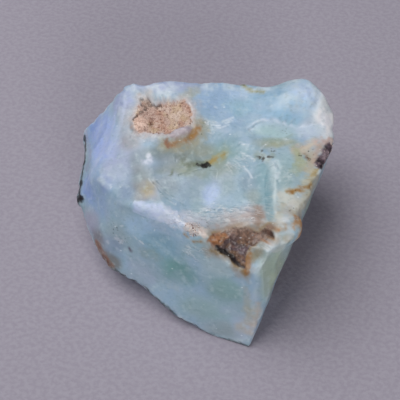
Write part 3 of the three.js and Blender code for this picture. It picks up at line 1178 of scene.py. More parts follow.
STEPS = (
    Step("ledge", ((9.6, 11.2, 26.9), (11.5, 12.8, 26.9), (13.2, 13.6, 26.9), (15.9, 14.2, 26.9),
        (19.5, 13.6, 26.7), (22.5, 12.9, 26.5), (26.5, 14, 26.5)), 0.3, 1.4, 0.2),
    Step("upper arc", ((-0.8, 13.3, 27.5), (0.8, 12.9, 27.3), (3.1, 12.9, 27.2), (6.2, 14.5, 27.2)), 0.14,
        0.5, 0.55),
    Step("middle arc", ((-0.6, 12.5, 27.4), (1, 12.1, 27.2), (3.3, 12.1, 27.1), (5.9, 13.5, 27.1)), 0.14,
        0.5, 0.6),
    Step("lower arc", ((0.2, 11.6, 27.3), (1.6, 11.2, 27.1), (3.4, 11.4, 27), (5.2, 12.4, 27)), 0.14, 0.5,
        0.5),
    Step("arc by the ledge", ((9, 12.2, 27), (10.2, 11.4, 26.9), (11.8, 11.6, 26.8)), 0.12, 0.5, 0.5),
    Step("ring of the scoop", ((12.6, 6.4, 26), (14.3, 7.8, 26), (16.2, 8.7, 26), (18.6, 8.9, 26)), 0.16,
        0.8, 0.4),
    Step("left tick", ((7.7, 7.8, 26.2), (9.3, 7, 26.2), (10.6, 6.6, 26.2)), 0.12, 0.5, 0.6),
    Step("middle tick", ((7.2, 5.8, 25.4), (9.3, 4.8, 25.3), (10.9, 3.7, 25.2)), 0.1, 0.5, 0.6),
    Step("lower tick", ((8.4, 2.4, 24.4), (9.7, 0.9, 24), (10.3, -0.3, 23.8)), 0.1, 0.5, 0.45),
    Step("scoop arc", ((-13, -1, 24.9), (-11.6, -2.8, 24.8), (-9.8, -5.5, 24.8), (-7.1, -7.4, 24.1)), 0.12,
        0.7, 0.35, front=(0.8, 0.6, 0)),
    Step("inner scoop arc", ((-11.2, -1.6, 24.8), (-9.6, -3.8, 24.7), (-7.6, -5.6, 24.3),
        (-5.2, -6.9, 23.9)), 0.1, 0.6, 0.3, front=(0.8, 0.6, 0)),
    Step("trough lip", ((-6.5, 0.2, 24.7), (-3.2, 1, 24.5), (-0.6, 1.9, 24.5), (2.5, 1.6, 24.3)), 0.18, 1,
        0.25),
    Step("front crack", ((9.6, -17.6, 21.9), (11.3, -19.6, 21.9), (12.2, -20.6, 21.4)), 0.12, 0.5, 0.5,
        front=(-0.5, -0.8, 0)),
)

# The foot and the top of the step up to the block, from the back to the front
STEP_FOOT = (
    (13.2, 2.9, 25.4), (13.8, -0.3, 24.8), (14.1, -4.4, 25), (14.3, -8.4, 25.1), (14.4, -12.3, 25),
)
STEP_TOP = (
    (14.1, 2.9, 25.8), (14.7, -0.3, 25.5), (14.8, -4.4, 25.5), (14.9, -8.4, 25.4), (14.8, -12.3, 25.3),
)
# The upper line of the ledge, from the left to the right
LEDGE_LINE = (
    (10.6, 12.9, 27.1), (12.9, 13.9, 27.3), (15.3, 14, 27.5), (17.6, 13.3, 27.1), (20, 12.8, 26.7),
    (22.3, 12.6, 26.7), (25.1, 13.3, 26.5),
)
# The edge between the front and the side of the sharp front corner, from the top down
TIP_SIDE_EDGE = (
    (12.3, -18.7, 23.1), (11.9, -20.7, 21.5), (12.5, -22.9, 17.1), (12.9, -24.8, 12.4),
)
# The way from the crest of the left dishes down into them
DISH_SIDE = (-0.8, 0, -0.6)

SEAMS = (
    # The two teal seams are partly the stone's own teal and partly painted shade on the step's wall, which
    # faces the key light
    Seam("teal strip at the step", STEP_FOOT, (-1, 0, -0.4), 4.6, "7298a6", 0.85, 0.5),
    Seam("shade of the step's wall", STEP_TOP, (-1, 0, -0.4), 3.2, "6896a3", 0.9, 0.35),
    Seam("pale side of the block", (*STEP_FOOT, (14.3, -15.1, 24.7)), (1, 0, 0.2), 4.6, "b4c0c5", 0.3,
        0.4),
    # Painted highlight: a thin pale line along the top edge of the step
    Seam("line of the step", (*STEP_TOP, (14.5, -15.1, 24.8)), (1, 0, 0.2), 0.6, "c4d0d2", 0.15, 0.2),
    Seam("shade under the ledge", ((12.9, 9.3, 26.3), (14.8, 9.2, 26.1), (17.6, 9.5, 26.1),
        (20, 10.6, 26.1)), (0, -1, 0), 1.4, "8fa5a0", 0.55),
    Seam("pale fall of the ledge", ((8.9, 11.5, 27), *LEDGE_LINE, (28, 13.1, 25.6)), (0, -1, 0), 3.6,
        "b8cadc", 0.5, 0.3, 0.05),
    # Painted highlight: a pale line on the upper edge of the ledge
    Seam("white line of the ledge", LEDGE_LINE, (0, -1, 0), 0.75, "dde6f4", 0.65, 0.25, 0.05),
    # Painted highlight: pale colour laid along the crests above the blue dish and of the shoulder
    Seam("crest above the blue dish", ((-21.2, 19.8, 25.7), (-21.7, 14.1, 24.5), (-23.8, 10.1, 22),
        (-25.8, 5.7, 20.1), (-27.8, 3.3, 17.3)), DISH_SIDE, 2.6, "b3c0e0", 0.6),
    Seam("pale crest of the shoulder", ((-18.7, 19.6, 27), (-19.7, 13.4, 25.4), (-21, 10, 24.2),
        (-22.8, 6.7, 22.7)), DISH_SIDE, 2.2, "b9c6de", 0.5),
    Seam("right edge of the blue dish", ((-23.6, 19.9, 22), (-23.8, 15.1, 21.9), (-25.8, 12.6, 19.8),
        (-27.1, 11.4, 18.2)), DISH_SIDE, 3, "7d92c4", 0.55),
    Seam("low grey strip", ((-29.8, 20.6, 14.6), (-27.7, 11.9, 17.4), (-27.5, 9.3, 17.8),
        (-28.8, 7, 15.2)), DISH_SIDE, 3, "9298b4", 0.7),
    Seam("white of the lip", ((12.1, -17, 22.8), (13.1, -19, 23.8), (14.7, -19.2, 22.8),
        (16.2, -18.6, 23.1), (17.7, -17.3, 24.3), (18.8, -15.6, 24.8)), (-0.3, 1, 0.6), 2, "bfc2c3", 0.5),
    Seam("left edge of the tip side", TIP_SIDE_EDGE, (-1, -0.3, 0), 0.7, "b4c6c2", 0.5),
    Seam("shade of the tip side", TIP_SIDE_EDGE, (1, 0.3, 0), 3.5, "93a39b", 0.5),
    # Painted reflection: pale lavender-white along the upper and lower edges of the ridge's bevel
    Seam("upper edge of the ridge", ((-16.2, -5.9, 23.4), (-14.3, -7.4, 23.7), (-12.1, -7.7, 24.2),
        (-9.1, -9.2, 24.4), (-6.4, -9, 24.2)), (-0.4, -1, 0), 1.6, "c8d3ea", 0.8),
    Seam("lower edge of the ridge", ((-16.7, -7.9, 21.6), (-14.3, -9.4, 22.2), (-11.2, -10.8, 22.9),
        (-8, -12.1, 23)), (0.4, 1, 0.4), 1.2, "bccbe6", 0.7),
)


@dataclass(frozen=True)
class Hackles:
    """A field of fine torn ribs across a broken face. The finest of them are left to the finish."""

    name: str
    middle: Place
    radii: Place
    along: Place
    spacing: float = 0.8
    height: float = 0.08
    colour: str = "d6dce2"
    paleness: float = 0.35
    torn: float = 0.9

    def work(self, skin: Skin) -> None:
        """Raises the ribs, pales their crests and marks the field as torn.

        Args:
            skin: the stone's skin.
        """
        seed = own_seed(self.name)
        chosen, _ = skin.near((self.middle,), 1.4 * max(self.radii))
        points = skin.points[chosen]
        gap = np.linalg.norm((points - np.array(self.middle)) / np.array(self.radii), axis=1)
        inside = 1 - ramp(gap + 0.25 * noise(points, 2.5, seed, 2), 0.4, 1.1)
        along = unit(self.along)
        squeezed = points - 0.75 * (points @ along)[:, None] * along
        ribs = 1 - 2 * np.abs(noise(squeezed, self.spacing, seed + 1, 2))
        skin.height[chosen] += self.height * inside * ribs
        skin.lay(self.colour, self.paleness * inside * ramp(ribs, 0.35, 0.95), chosen)
        skin.mark(Mark.TORN, self.torn * inside, chosen)


HACKLES = (
    Hackles("torn floor of the hollow", (3, -9.3, 23), (8, 2.6, 2.5), (1, 0.1, 0)),
    Hackles("torn strip over the iron", (9.5, -9.6, 23.6), (3.4, 3.2, 2), (1, -0.1, 0), colour="d0c6c2"),
    Hackles("feathers on the block", (18.5, -1, 25.6), (2.6, 4, 2), (1, 0.45, 0), 1, 0.06, "c6d3d3", 0.25,
        0.4),
    Hackles("streaks beside the scoop", (7.5, 2.5, 24.6), (3.5, 3, 2), (0.8, -0.6, 0), 0.9, 0.06),
    Hackles("ridge top", (-6, -11.2, 23.6), (5, 2.4, 2), (0.9, -0.35, 0), 0.8, 0.08, "d9dbe8", 0.5),
    Hackles("left of the arcs", (0.5, 12.5, 27.4), (3, 3, 2), (1, 0, 0), 0.8, 0.05),
    Hackles("torn right side", (21.5, -8, 15), (4, 6, 5), (0.3, 0.8, 0.4), 1.4, 0.12, "b4c1bf", 0.25, 0.6),
    Hackles("torn back", (2, 23.5, 17), (9, 3, 5), (1, 0, 0.2), 1.6, 0.14, "b6c4cc", 0.2, 0.5),
    Hackles("front by the iron", (-3, -17.5, 20), (4, 2.5, 3), (1, -0.5, 0), 1, 0.05, "c5cfd6", 0.2, 0.6),
)


BANDS = (
    Band("pink white zone", ((-3.7, -11.8, 23.6), (1.8, -11.4, 23), (6, -9.6, 22.9), (9.8, -9, 23.6)), 1.7,
        "aca7a8", 0.5, 1.8, 0.7),
    Band("mauve floor over the iron", ((0.5, -13.6, 23.4), (3, -13.2, 23.3)), 1.2, "a89f9f", 0.5, 1.4,
        0.6),
    # Painted reflection: the white and lavender on the ridge's bevel stand for the lights mirrored there
    Band("white right part of the ridge", ((-10.8, -9.4, 23.9), (-7.7, -10.6, 23.9), (-4.6, -12, 23.7)),
        1.7, "c9d0e2", 0.8, 1.4, 0.6, mottled=0.3),
    Band("lavender block of the ridge", ((-15.2, -7.4, 22.9), (-13, -8.4, 23.8), (-10.8, -9, 24)), 1.35,
        "b9c6e2", 0.8, 0.6, 0.3, core="cbd6ea"),
    Band("white fan behind the ridge", ((-4.6, -10, 23.4), (-1.6, -11.6, 23.3)), 1.6, "bfc3cf", 0.6, 1.8,
        0.7),
    Band("sugary end of the ridge", ((-3.9, -12.8, 23.7), (-2.2, -13.9, 23.8), (-0.6, -14.6, 23.9)), 1.25,
        "cdbfb8", 0.85, 0.9, 0.5, 0.9, "dccfca"),
    Band("brown edge of the ridge", ((-4.9, -14.3, 22.4), (-3.8, -15.4, 22.3), (-2.9, -16, 22.2),
        (-1.2, -16.2, 23)), 0.35, "a69174", 0.6, 0.7, 0.35, 0.9, "8f7148"),
    Band("glow under the crust", ((-9.5, 7.3, 26.6), (-6.1, 7.2, 26.4), (-1.2, 10, 26.9),
        (-1.8, 12.2, 27.6)), 1.6, "a09b82", 0.6, 2.2, 0.5, over_crust=True),
    Band("orange under the crust", ((-9.1, 7.5, 26.6), (-7.2, 7.5, 26.5), (-5.6, 8.1, 26.6),
        (-4, 8.7, 26.6), (-2.7, 9.9, 27), (-2, 11.2, 27.4)), 0.65, "a58868", 0.85, 1.2, 0.5, 1.2, "9c7446",
        over_crust=True),
    Band("brown under the crust", ((-9.1, 8.2, 26.8), (-8.8, 7.2, 26.4)), 0.6, "8e624a", 0.8, 0.7, 0.45,
        0.9, over_crust=True),
    Band("orange under the crust, bright end", ((-3.4, 9.5, 26.9), (-2.5, 10.6, 27.2)), 0.6, "ae854a",
        0.75, 0.9, 0.45, 0.9, "a8703a", over_crust=True),
    Band("dark dashes by the crust", ((-17.3, 13.9, 26.4), (-16.2, 15.1, 26.8), (-15.3, 16.1, 27),
        (-14.2, 17, 27.1), (-13.5, 17.8, 27.2)), 0.3, "2c2422", 0.95, 0.2, 0.35, 0.6, mottled=0.6,
        over_crust=True),
    Band("dark dashes at the top", ((-13.4, 18, 27.2), (-12.8, 18.1, 27.2), (-11.6, 17.6, 27.2),
        (-10.7, 17.9, 27.3)), 0.28, "2c2422", 0.9, 0.2, 0.3, 0.6, mottled=0.5, over_crust=True),
    Band("dark dashes round the nodule", ((-13, 14.6, 26.8), (-12.8, 13.2, 26.8), (-13.2, 11.6, 26.9),
        (-14.5, 10.7, 26.7)), 0.2, "6a4438", 0.85, 0.25, 0.3, 0.6, mottled=0.7, over_crust=True),
    Band("dark dashes round the small nodule", ((-15.4, 18, 27.4), (-15.3, 19.2, 27.6),
        (-14.6, 19.8, 27.8), (-13.4, 19.4, 27.6), (-13, 18.3, 27.3)), 0.24, "3a2c26", 0.9, 0.2, 0.3, 0.6,
        mottled=0.6, over_crust=True),
    Band("olive seam at the back", ((8.4, 23.6, 28.2), (9.6, 22.3, 28.2), (11.4, 21.5, 28.3),
        (13.4, 21.2, 28.4)), 0.5, "9b9a72", 0.85, 0.6, 0.3, 1, "85814c"),
    Band("brown dot in the olive seam", ((8.9, 23.6, 28.2),), 0.35, "6a5a3a", 0.8, 0.3, 0.2),
    Band("olive haze by the crust", ((-5, 19.8, 28.2), (-3, 21.2, 28.4)), 1.3, "a4a58f", 0.7, 1.6, 0.6),
    Band("tan haze behind the small nodule", ((-13.6, 21, 28),), 1, "b0a59c", 0.6, 1.4, 0.5),
    Band("yellow haze round the spot", ((-5.5, 1.6, 24.6), (-1.5, 1.2, 24.4), (1.5, 3, 24.5),
        (4.5, 5.8, 25)), 1.7, "97a184", 0.45, 2.4, 0.8, 2),
    Band("yellow streak", ((0.3, 3.4, 24.6), (2, 4.3, 24.8), (4.2, 5.5, 25)), 0.7, "a09a68", 0.8, 1.4,
        0.45, 1.2, "a38b48"),
    Band("dark haze of the spot", ((-3.8, 2.9, 24.8), (-0.2, 2.8, 24.7)), 0.9, "65705c", 0.75, 1.1, 0.4),
    Band("black spot", ((-1.9, 2.7, 24.7), (-0.6, 2.5, 24.6), (0.3, 3, 24.6)), 0.5, "12130f", 0.97, 0.5,
        0.4, 0.8, "060605", 0.1, Surface.IRON),
    Band("black spot's right branch", ((0.3, 3, 24.6), (1, 2.6, 24.5)), 0.28, "22241a", 0.85, 0.3, 0.2,
        0.6, mineral=Surface.IRON),
    Band("small dots", ((-8.4, -0.1, 24.8), (-7.9, 0.3, 24.8)), 0.36, "54624e", 0.85, 0.5, 0.25, 0.7,
        "39453a"),
    Band("grey tail of the dots", ((-8, 0.6, 24.8), (-7.7, 1.2, 24.8)), 0.3, "6f7d68", 0.6, 0.5, 0.2),
    Band("tan cloud", ((-13.3, -3.4, 24.4), (-13, -4.4, 24.4)), 1.3, "aca384", 0.65, 2.2, 0.6, 1.6,
        "a08c5e"),
    Band("white chip", ((-14, 3.1, 25.5), (-13, 3.4, 25.6)), 0.75, "c6cce0", 0.5, 1, 0.6, 0.9, "dde1ee"),
    Band("white chip's tail", ((-13.6, 4.3, 25.8), (-13.2, 4.8, 25.9)), 0.4, "dfe3ee", 0.6, 0.4, 0.3),
    Band("green specks", ((11.6, 4.6, 25.9), (14.2, 3.8, 26), (15, 4.6, 26)), 0.9, "8c967e", 0.5, 1.2,
        0.6),
    Band("black speck in front of the ring", ((11.5, 4.3, 25.6), (12.3, 4.1, 25.6)), 0.28, "1c1f18", 0.95,
        0.3, 0.25, 0.6, "", 0.1, Surface.IRON),
    Band("black speck beside it", ((12.8, 3.5, 25.6), (13.2, 3.9, 25.6)), 0.3, "1c1f18", 0.95, 0.3, 0.25,
        0.6, "", 0.1, Surface.IRON),
    Band("long black speck", ((14, 4.1, 25.9), (15, 3.9, 26)), 0.26, "1c1f18", 0.95, 0.3, 0.2, 0.6, "",
        0.1, Surface.IRON),
    Band("small black speck behind", ((12.7, 5.7, 26),), 0.26, "2c3328", 0.9, 0.3, 0.15, 0.6, "", 0.1),
    Band("small black speck at the right", ((15.5, 5.7, 25.9),), 0.22, "2c3328", 0.85, 0.3, 0.15, 0.6, "",
        0.1),
    Band("tan skin by the purple", ((23.6, 5.6, 25.6), (24.1, 3.6, 25.4), (23.2, 1.2, 25.4)), 1.2,
        "b9ab93", 0.75, 1, 0.7),
    Band("cream skin of the rim", ((20.4, 5.8, 26.1), (23, 6.6, 25.8), (24.8, 8.2, 25.9)), 1.25, "bfb3a3",
        0.8, 1.4, 0.8, 1.8, "c9bfb0"),
    Band("cream specked skin", ((20.9, 4.2, 25.8), (21.7, 1.8, 25.6)), 1.1, "b8b193", 0.6, 1.4, 0.7),
    Band("yellow green skin of the rim", ((20.6, 5.9, 25.9), (21.4, 3.3, 25.7), (20.3, 0.5, 25.7)), 1,
        "a9b18e", 0.6, 1.4, 0.7),
    Band("cream skin lower down", ((24.8, -0.5, 25.2), (23.2, -1.3, 25.2), (22.7, -5.6, 24.7)), 1.2,
        "bcb79f", 0.75, 1.2, 0.8, 1.6),
    Band("tan skin left of the purple", ((26.6, 7, 25.5), (25.2, 5.4, 25.4), (24.8, 3.2, 25.3)), 0.8,
        "b89f8e", 0.75, 1, 0.5),
    Band("pink end of the rim", ((25.6, 8.3, 25.9), (27.4, 8.7, 25.6), (29.2, 9.8, 24.8)), 0.85, "c8a79a",
        0.75, 1, 0.5),
    Band("brown specks on the rim", ((22.6, 5.6, 25.7), (23.2, 4, 25.6)), 0.4, "8a6a4a", 0.8, 0.5, 0.4,
        0.8, "6a4c33"),
    Band("yellow bits on the rim", ((25.2, 0.9, 25.2), (23.2, -1.3, 25.2)), 0.5, "b39a5e", 0.8, 0.6, 0.5,
        0.8),
    Band("cream edge of the block", ((20.9, -7.2, 24.8), (20.2, -10.6, 25.2), (16.4, -11.6, 25.7)), 1.4,
        "c3c2b4", 0.65, 1.2, 0.8, 1.8),
    Band("lavender of the block", ((17.5, -10.6, 25.6), (18.5, -8.7, 25.1), (17.1, -12.8, 25.9)), 0.9,
        "b7bcc8", 0.5, 1, 0.5),
    Band("orange stain", ((18.3, -5.1, 25.3), (20, -4.4, 25.2), (22.6, -3.6, 25), (23.6, -2.9, 25.1)), 0.7,
        "a98d5a", 0.9, 0.7, 0.5, 1, "93692f"),
    Band("white patches on the block", ((17, -6.5, 25.3), (20, -8.5, 25)), 1.6, "cfcec6", 0.6, 1.6, 1.2,
        0.8),
    Band("tan patches on the block", ((16.5, -9.5, 25.4), (19, -10.5, 25.2)), 1.2, "b0a48c", 0.5, 1.4, 1.1,
        0.7),
    Band("muted edge of the block", ((14.9, 0.9, 25.9), (15.2, -4.6, 25.8), (15.2, -9.7, 25.6)), 0.55,
        "a3b8bd", 0.6, 0.6, 0.3),
    Band("olive film right of the iron", ((9.6, -19.6, 20.8), (11.3, -18.4, 22.2), (12.4, -17.6, 23.1)),
        0.9, "8f897a", 0.75, 1.4, 0.5),
    Band("warm upper edge of the right side", ((25.3, -1, 24), (23.6, -5, 24), (21.7, -9.5, 24),
        (20.2, -13, 24)), 1.3, "a39c8c", 0.65, 1.6, 0.7),
    Band("cream on the rusty swelling", ((20.3, -12.4, 24.9), (20.5, -14, 24), (20, -15.6, 23.3)), 1.2,
        "bfa98c", 0.8, 0.9, 0.4),
    Band("rust on the rusty swelling", ((20.4, -12.8, 24.8), (20.7, -14, 23.9), (20.4, -15, 23.4)), 0.75,
        "b08050", 0.85, 0.7, 0.55, 0.9, "96622f"),
    Band("orange knob", ((18.9, -14, 25.4), (19.9, -11.9, 25.3), (20.5, -12.8, 24.8)), 0.85, "b08f6a",
        0.85, 0.8, 0.5, 1, "a2703f"),
    Band("orange at the step foot", ((15.4, -14.8, 25.1), (17.1, -14.5, 25.4)), 0.65, "b1936c", 0.85, 0.7,
        0.5, 1, "a06f40"),
    Band("white of the lip's inside", ((14.9, -16.6, 24.7), (14.2, -17.8, 24.3), (13, -18.7, 23.7)), 0.7,
        "c2c3c2", 0.5, 0.9, 0.3),
    Band("brown stain on the left foot", ((-26.2, -9, 8.6), (-24.4, -11.5, 6.9), (-22.8, -13.4, 5.5)),
        1.15, "8d6652", 0.9, 1, 0.5, 1.2, "6b4636"),
    Band("mauve dot", ((-17.8, -12.4, 12.6), (-17.5, -12.7, 12.3)), 0.5, "6e6a7c", 0.8, 0.7, 0.2, 1.2,
        "55506a"),
    Band("cream veil at the tip", ((9.4, -26.7, 9.7), (10.2, -27.6, 7.8), (8.2, -28.4, 4.5)), 1.2,
        "b5ac98", 0.55, 1.6, 0.7),
    Band("pale band on the upper front", ((-12.8, -12.7, 17.1), (-9.4, -14.8, 16.4), (-6, -17.6, 15.8)),
        0.8, "a8c2d2", 0.4, 1.4, 0.6),
    Band("pale streak on the lower front", ((-5.2, -20, 12), (-3.4, -21.6, 10.6)), 0.5, "b2c8d2", 0.4, 0.9,
        0.5),
    Band("lavender patch by the left foot", ((-16.6, -14.4, 9.5), (-13.6, -17.6, 8)), 1.6, "a6b2c8", 0.4,
        2, 0.8),
    Band("cream band on the front", ((8.8, -24.2, 14.7), (9.4, -26, 11)), 0.8, "a9a796", 0.45, 1.4, 0.6),
    Band("cream edge of the tip", ((11.3, -26, 11.5), (11.7, -27, 9.4), (11.2, -28.4, 6.6),
        (9.8, -29.6, 4)), 0.8, "b9aca2", 0.65, 1.4, 0.6),
    Band("white crumbs on the left front", ((-21, -10.2, 13.2), (-19.8, -10.9, 13.3)), 0.6, "c4ccd6", 0.7,
        0.5, 0.6, 0.7),
    Band("white crumb by the left foot", ((-23.3, -9.9, 11.3),), 0.45, "bcc4d0", 0.6, 0.4, 0.4, 0.7),
    Band("white tick on the left front", ((-17.4, -10.9, 16.3), (-15.9, -11.7, 15.9)), 0.2, "ccd6de", 0.6,
        0.3, 0.25, 0.7),
    Band("second white tick on the left front", ((-15.4, -12.2, 15.9), (-14.3, -12.8, 15.5)), 0.18,
        "d2dbe2", 0.7, 0.25, 0.15, 0.7),
    Band("dull blush on the front", ((-14, -13.6, 13.6), (-11, -15.4, 13.9)), 1.4, "8d9a92", 0.4, 2.2,
        0.8),
    Band("pale patch low on the front", ((-8.4, -19.9, 8.7), (-7.4, -20.6, 8.9)), 0.8, "adc0c8", 0.5, 1,
        0.6),
    Band("black skin on the left", ((-30.2, 18.2, 14.1), (-29.7, 15.3, 14.8), (-29.6, 10.7, 14.9),
        (-30, 8.5, 13.8), (-30.2, 6.1, 13), (-30.6, 3.7, 12.3), (-30.2, 1.5, 12.2)), 0.5, "15161c", 0.95,
        0.35, 0.5, 1.8, mineral=Surface.IRON),
    # Painted contact shadow: dark bands on the lowest edge of the left front and of the front foot, where
    # the stone meets the floor
    Band("dark skin under the left front", ((-23.2, -13, 4.9), (-19.9, -15.6, 5.1), (-17, -17.3, 5.3),
        (-14.2, -19.1, 4.9), (-11.3, -21.5, 3.9), (-8.5, -23.8, 2.8)), 0.4, "2a2a30", 0.9, 0.4, 0.4, 1.6),
    Band("dark edge of the front foot", ((-8.5, -23.8, 2.6), (-5.7, -25.5, 1.9), (-2.4, -26.9, 1.1),
        (0.8, -28.4, 0.5), (4.1, -29.6, 0.3), (6.9, -30.6, 0.3), (9.2, -31.3, 0.2)), 0.28, "35363c", 0.8,
        0.35, 0.3, 1.6),
    Band("black knob", ((-30.2, 1.5, 12.2), (-31.2, 1.9, 10.8), (-31.3, 2.1, 9.8)), 1.1, "101115", 0.97,
        0.5, 0.45, mineral=Surface.IRON),
    Band("dark skin under the black edge", ((-30, 15.5, 11.2), (-29.9, 12.5, 10.9), (-30.7, 8, 10.4),
        (-31.1, 4, 9.8)), 1.3, "45413f", 0.85, 1, 1.5, 2.4, "242427", 0.5),
    Band("ochre film down the right side", ((24.9, -0.5, 20), (22.8, -4.5, 14), (19.9, -10.5, 10)), 1.3,
        "a59a78", 0.55, 2.2, 1.1, 2.4, "9a8458"),
    Band("white vein on the right side", ((19.5, -13.5, 20), (21, -9, 16), (23.5, -3, 15)), 0.35, "c9d3d6",
        0.6, 0.5, 0.4),
    Band("brown film under the left edge", ((-31, 14, 9), (-31, 6, 8), (-29, -2, 6)), 2, "7d7468", 0.6,
        2.4, 1, 2.5),
    Band("cream crust low at the back", ((-18, 20, 12), (-8, 21.5, 10), (2, 20.5, 8)), 2.6, "bdb49d", 0.7,
        2, 1.3, 3, "a58f70"),
    Band("rust low at the back", ((6, 21, 9), (14, 19, 11)), 1.4, "9a7650", 0.6, 1.6, 1, 2.2, "7c5637"),
    Band("grey film on the right side", ((24, 8, 15), (20, -2, 12), (17, -12, 10)), 2.2, "9aa18f", 0.5,
        2.4, 1, 2.5),
)


@dataclass
class PurpleSkin:
    """The rough dark purple skin left on the rim at the far right."""

    path: tuple[Place, ...] = ((28.9, 7.6, 24.7), (27.7, 6.0, 25.0), (26.7, 4.3, 25.1), (26.0, 2.4, 25.0))
    width: float = 1.15
    relief: float = 0.16
    body: str = "5f4f5b"
    # crest is painted highlight on the raised roughness, hollow is painted shade in its low places
    crest: str = "9d8c95"
    hollow: str = "211a20"

    def work(self, skin: Skin) -> None:
        """Roughens and colours the dark skin.

        Args:
            skin: the stone's skin.
        """
        chosen, gap = skin.near(self.path, self.width + 1.5)
        points = skin.points[chosen]
        inside = 1 - ramp(gap - self.width + 0.5 * noise(points, 1.4, 81, 2), -0.3, 0.4)
        rough = noise(points, 0.9, 82, 2)
        skin.height[chosen] += self.relief * inside * rough
        skin.lay(self.body, inside, chosen)
        # Painted highlight on the raised roughness and painted shade in its low places
        skin.lay(self.crest, 0.75 * inside * ramp(rough, 0.15, 0.7), chosen)
        skin.lay(self.hollow, 0.9 * inside * ramp(-rough, -0.05, 0.4), chosen)
        skin.turn_into(Surface.IRON, inside, chosen)
        skin.mark(Mark.SPECKS, 0.8 * inside, chosen)
        skin.mark(Mark.GRAINS, 0.25 * inside, chosen)


@dataclass(frozen=True)
class Specks:
    """A place where tiny black-green specks or loose pale crumbs are scattered on the skin."""

    name: str
    middle: Place
    reach: float
    dark: float
    crumbs: float = 0.0

    def work(self, skin: Skin) -> None:
        """Marks the place for the specks and the crumbs.

        Args:
            skin: the stone's skin.
        """
        chosen, gap = skin.near((self.middle,), 1.2 * self.reach)
        here = 1 - ramp(gap / self.reach, 0.5, 1.1)
        skin.mark(Mark.SPECKS, self.dark * here, chosen)
        skin.mark(Mark.GRAINS, self.crumbs * here, chosen)


SPECKS = (
    Specks("by the ring of the scoop", (12.9, 4.6, 26), 1.8, 1),
    Specks("right of the ring", (15.2, 5.2, 26), 1.6, 0.8),
    Specks("left of the hollow", (-7.9, 0.2, 24.8), 1.2, 0.4),
    Specks("on the cream rim", (22.6, 5.2, 25.7), 2.6, 0.8, 0.05),
    Specks("on the block", (17.5, -9.8, 25.4), 3, 0.8),
    Specks("on the torn floor", (0.6, -10.8, 23), 4, 0.5),
    Specks("right of the crust", (-0.5, 10.6, 27), 1.4, 0.7),
    Specks("left of the crust", (-18, 15.8, 26.4), 2.4, 0.5),
    Specks("on the left front", (-20.4, -9.9, 15), 3.5, 0.45),
    Specks("under the ledge", (17, 10, 26), 4, 0.3),
    Specks("sugary end of the ridge", (-2.8, -13.6, 23.6), 2.3, 0.6, 0.8),
    Specks("white edge of the ridge", (-7, -11.6, 23.5), 2.2, 0.2, 0.12),
    Specks("low at the back", (-6, 21, 10), 6, 0.6),
    Specks("low on the right side", (20, -9, 12), 4, 0.5),
    Specks("orange knob", (19.8, -12.9, 25), 1.3, 0.6, 0.2),
    Specks("orange stain", (20.8, -4.2, 25.2), 2.4, 0.7, 0.06),
)


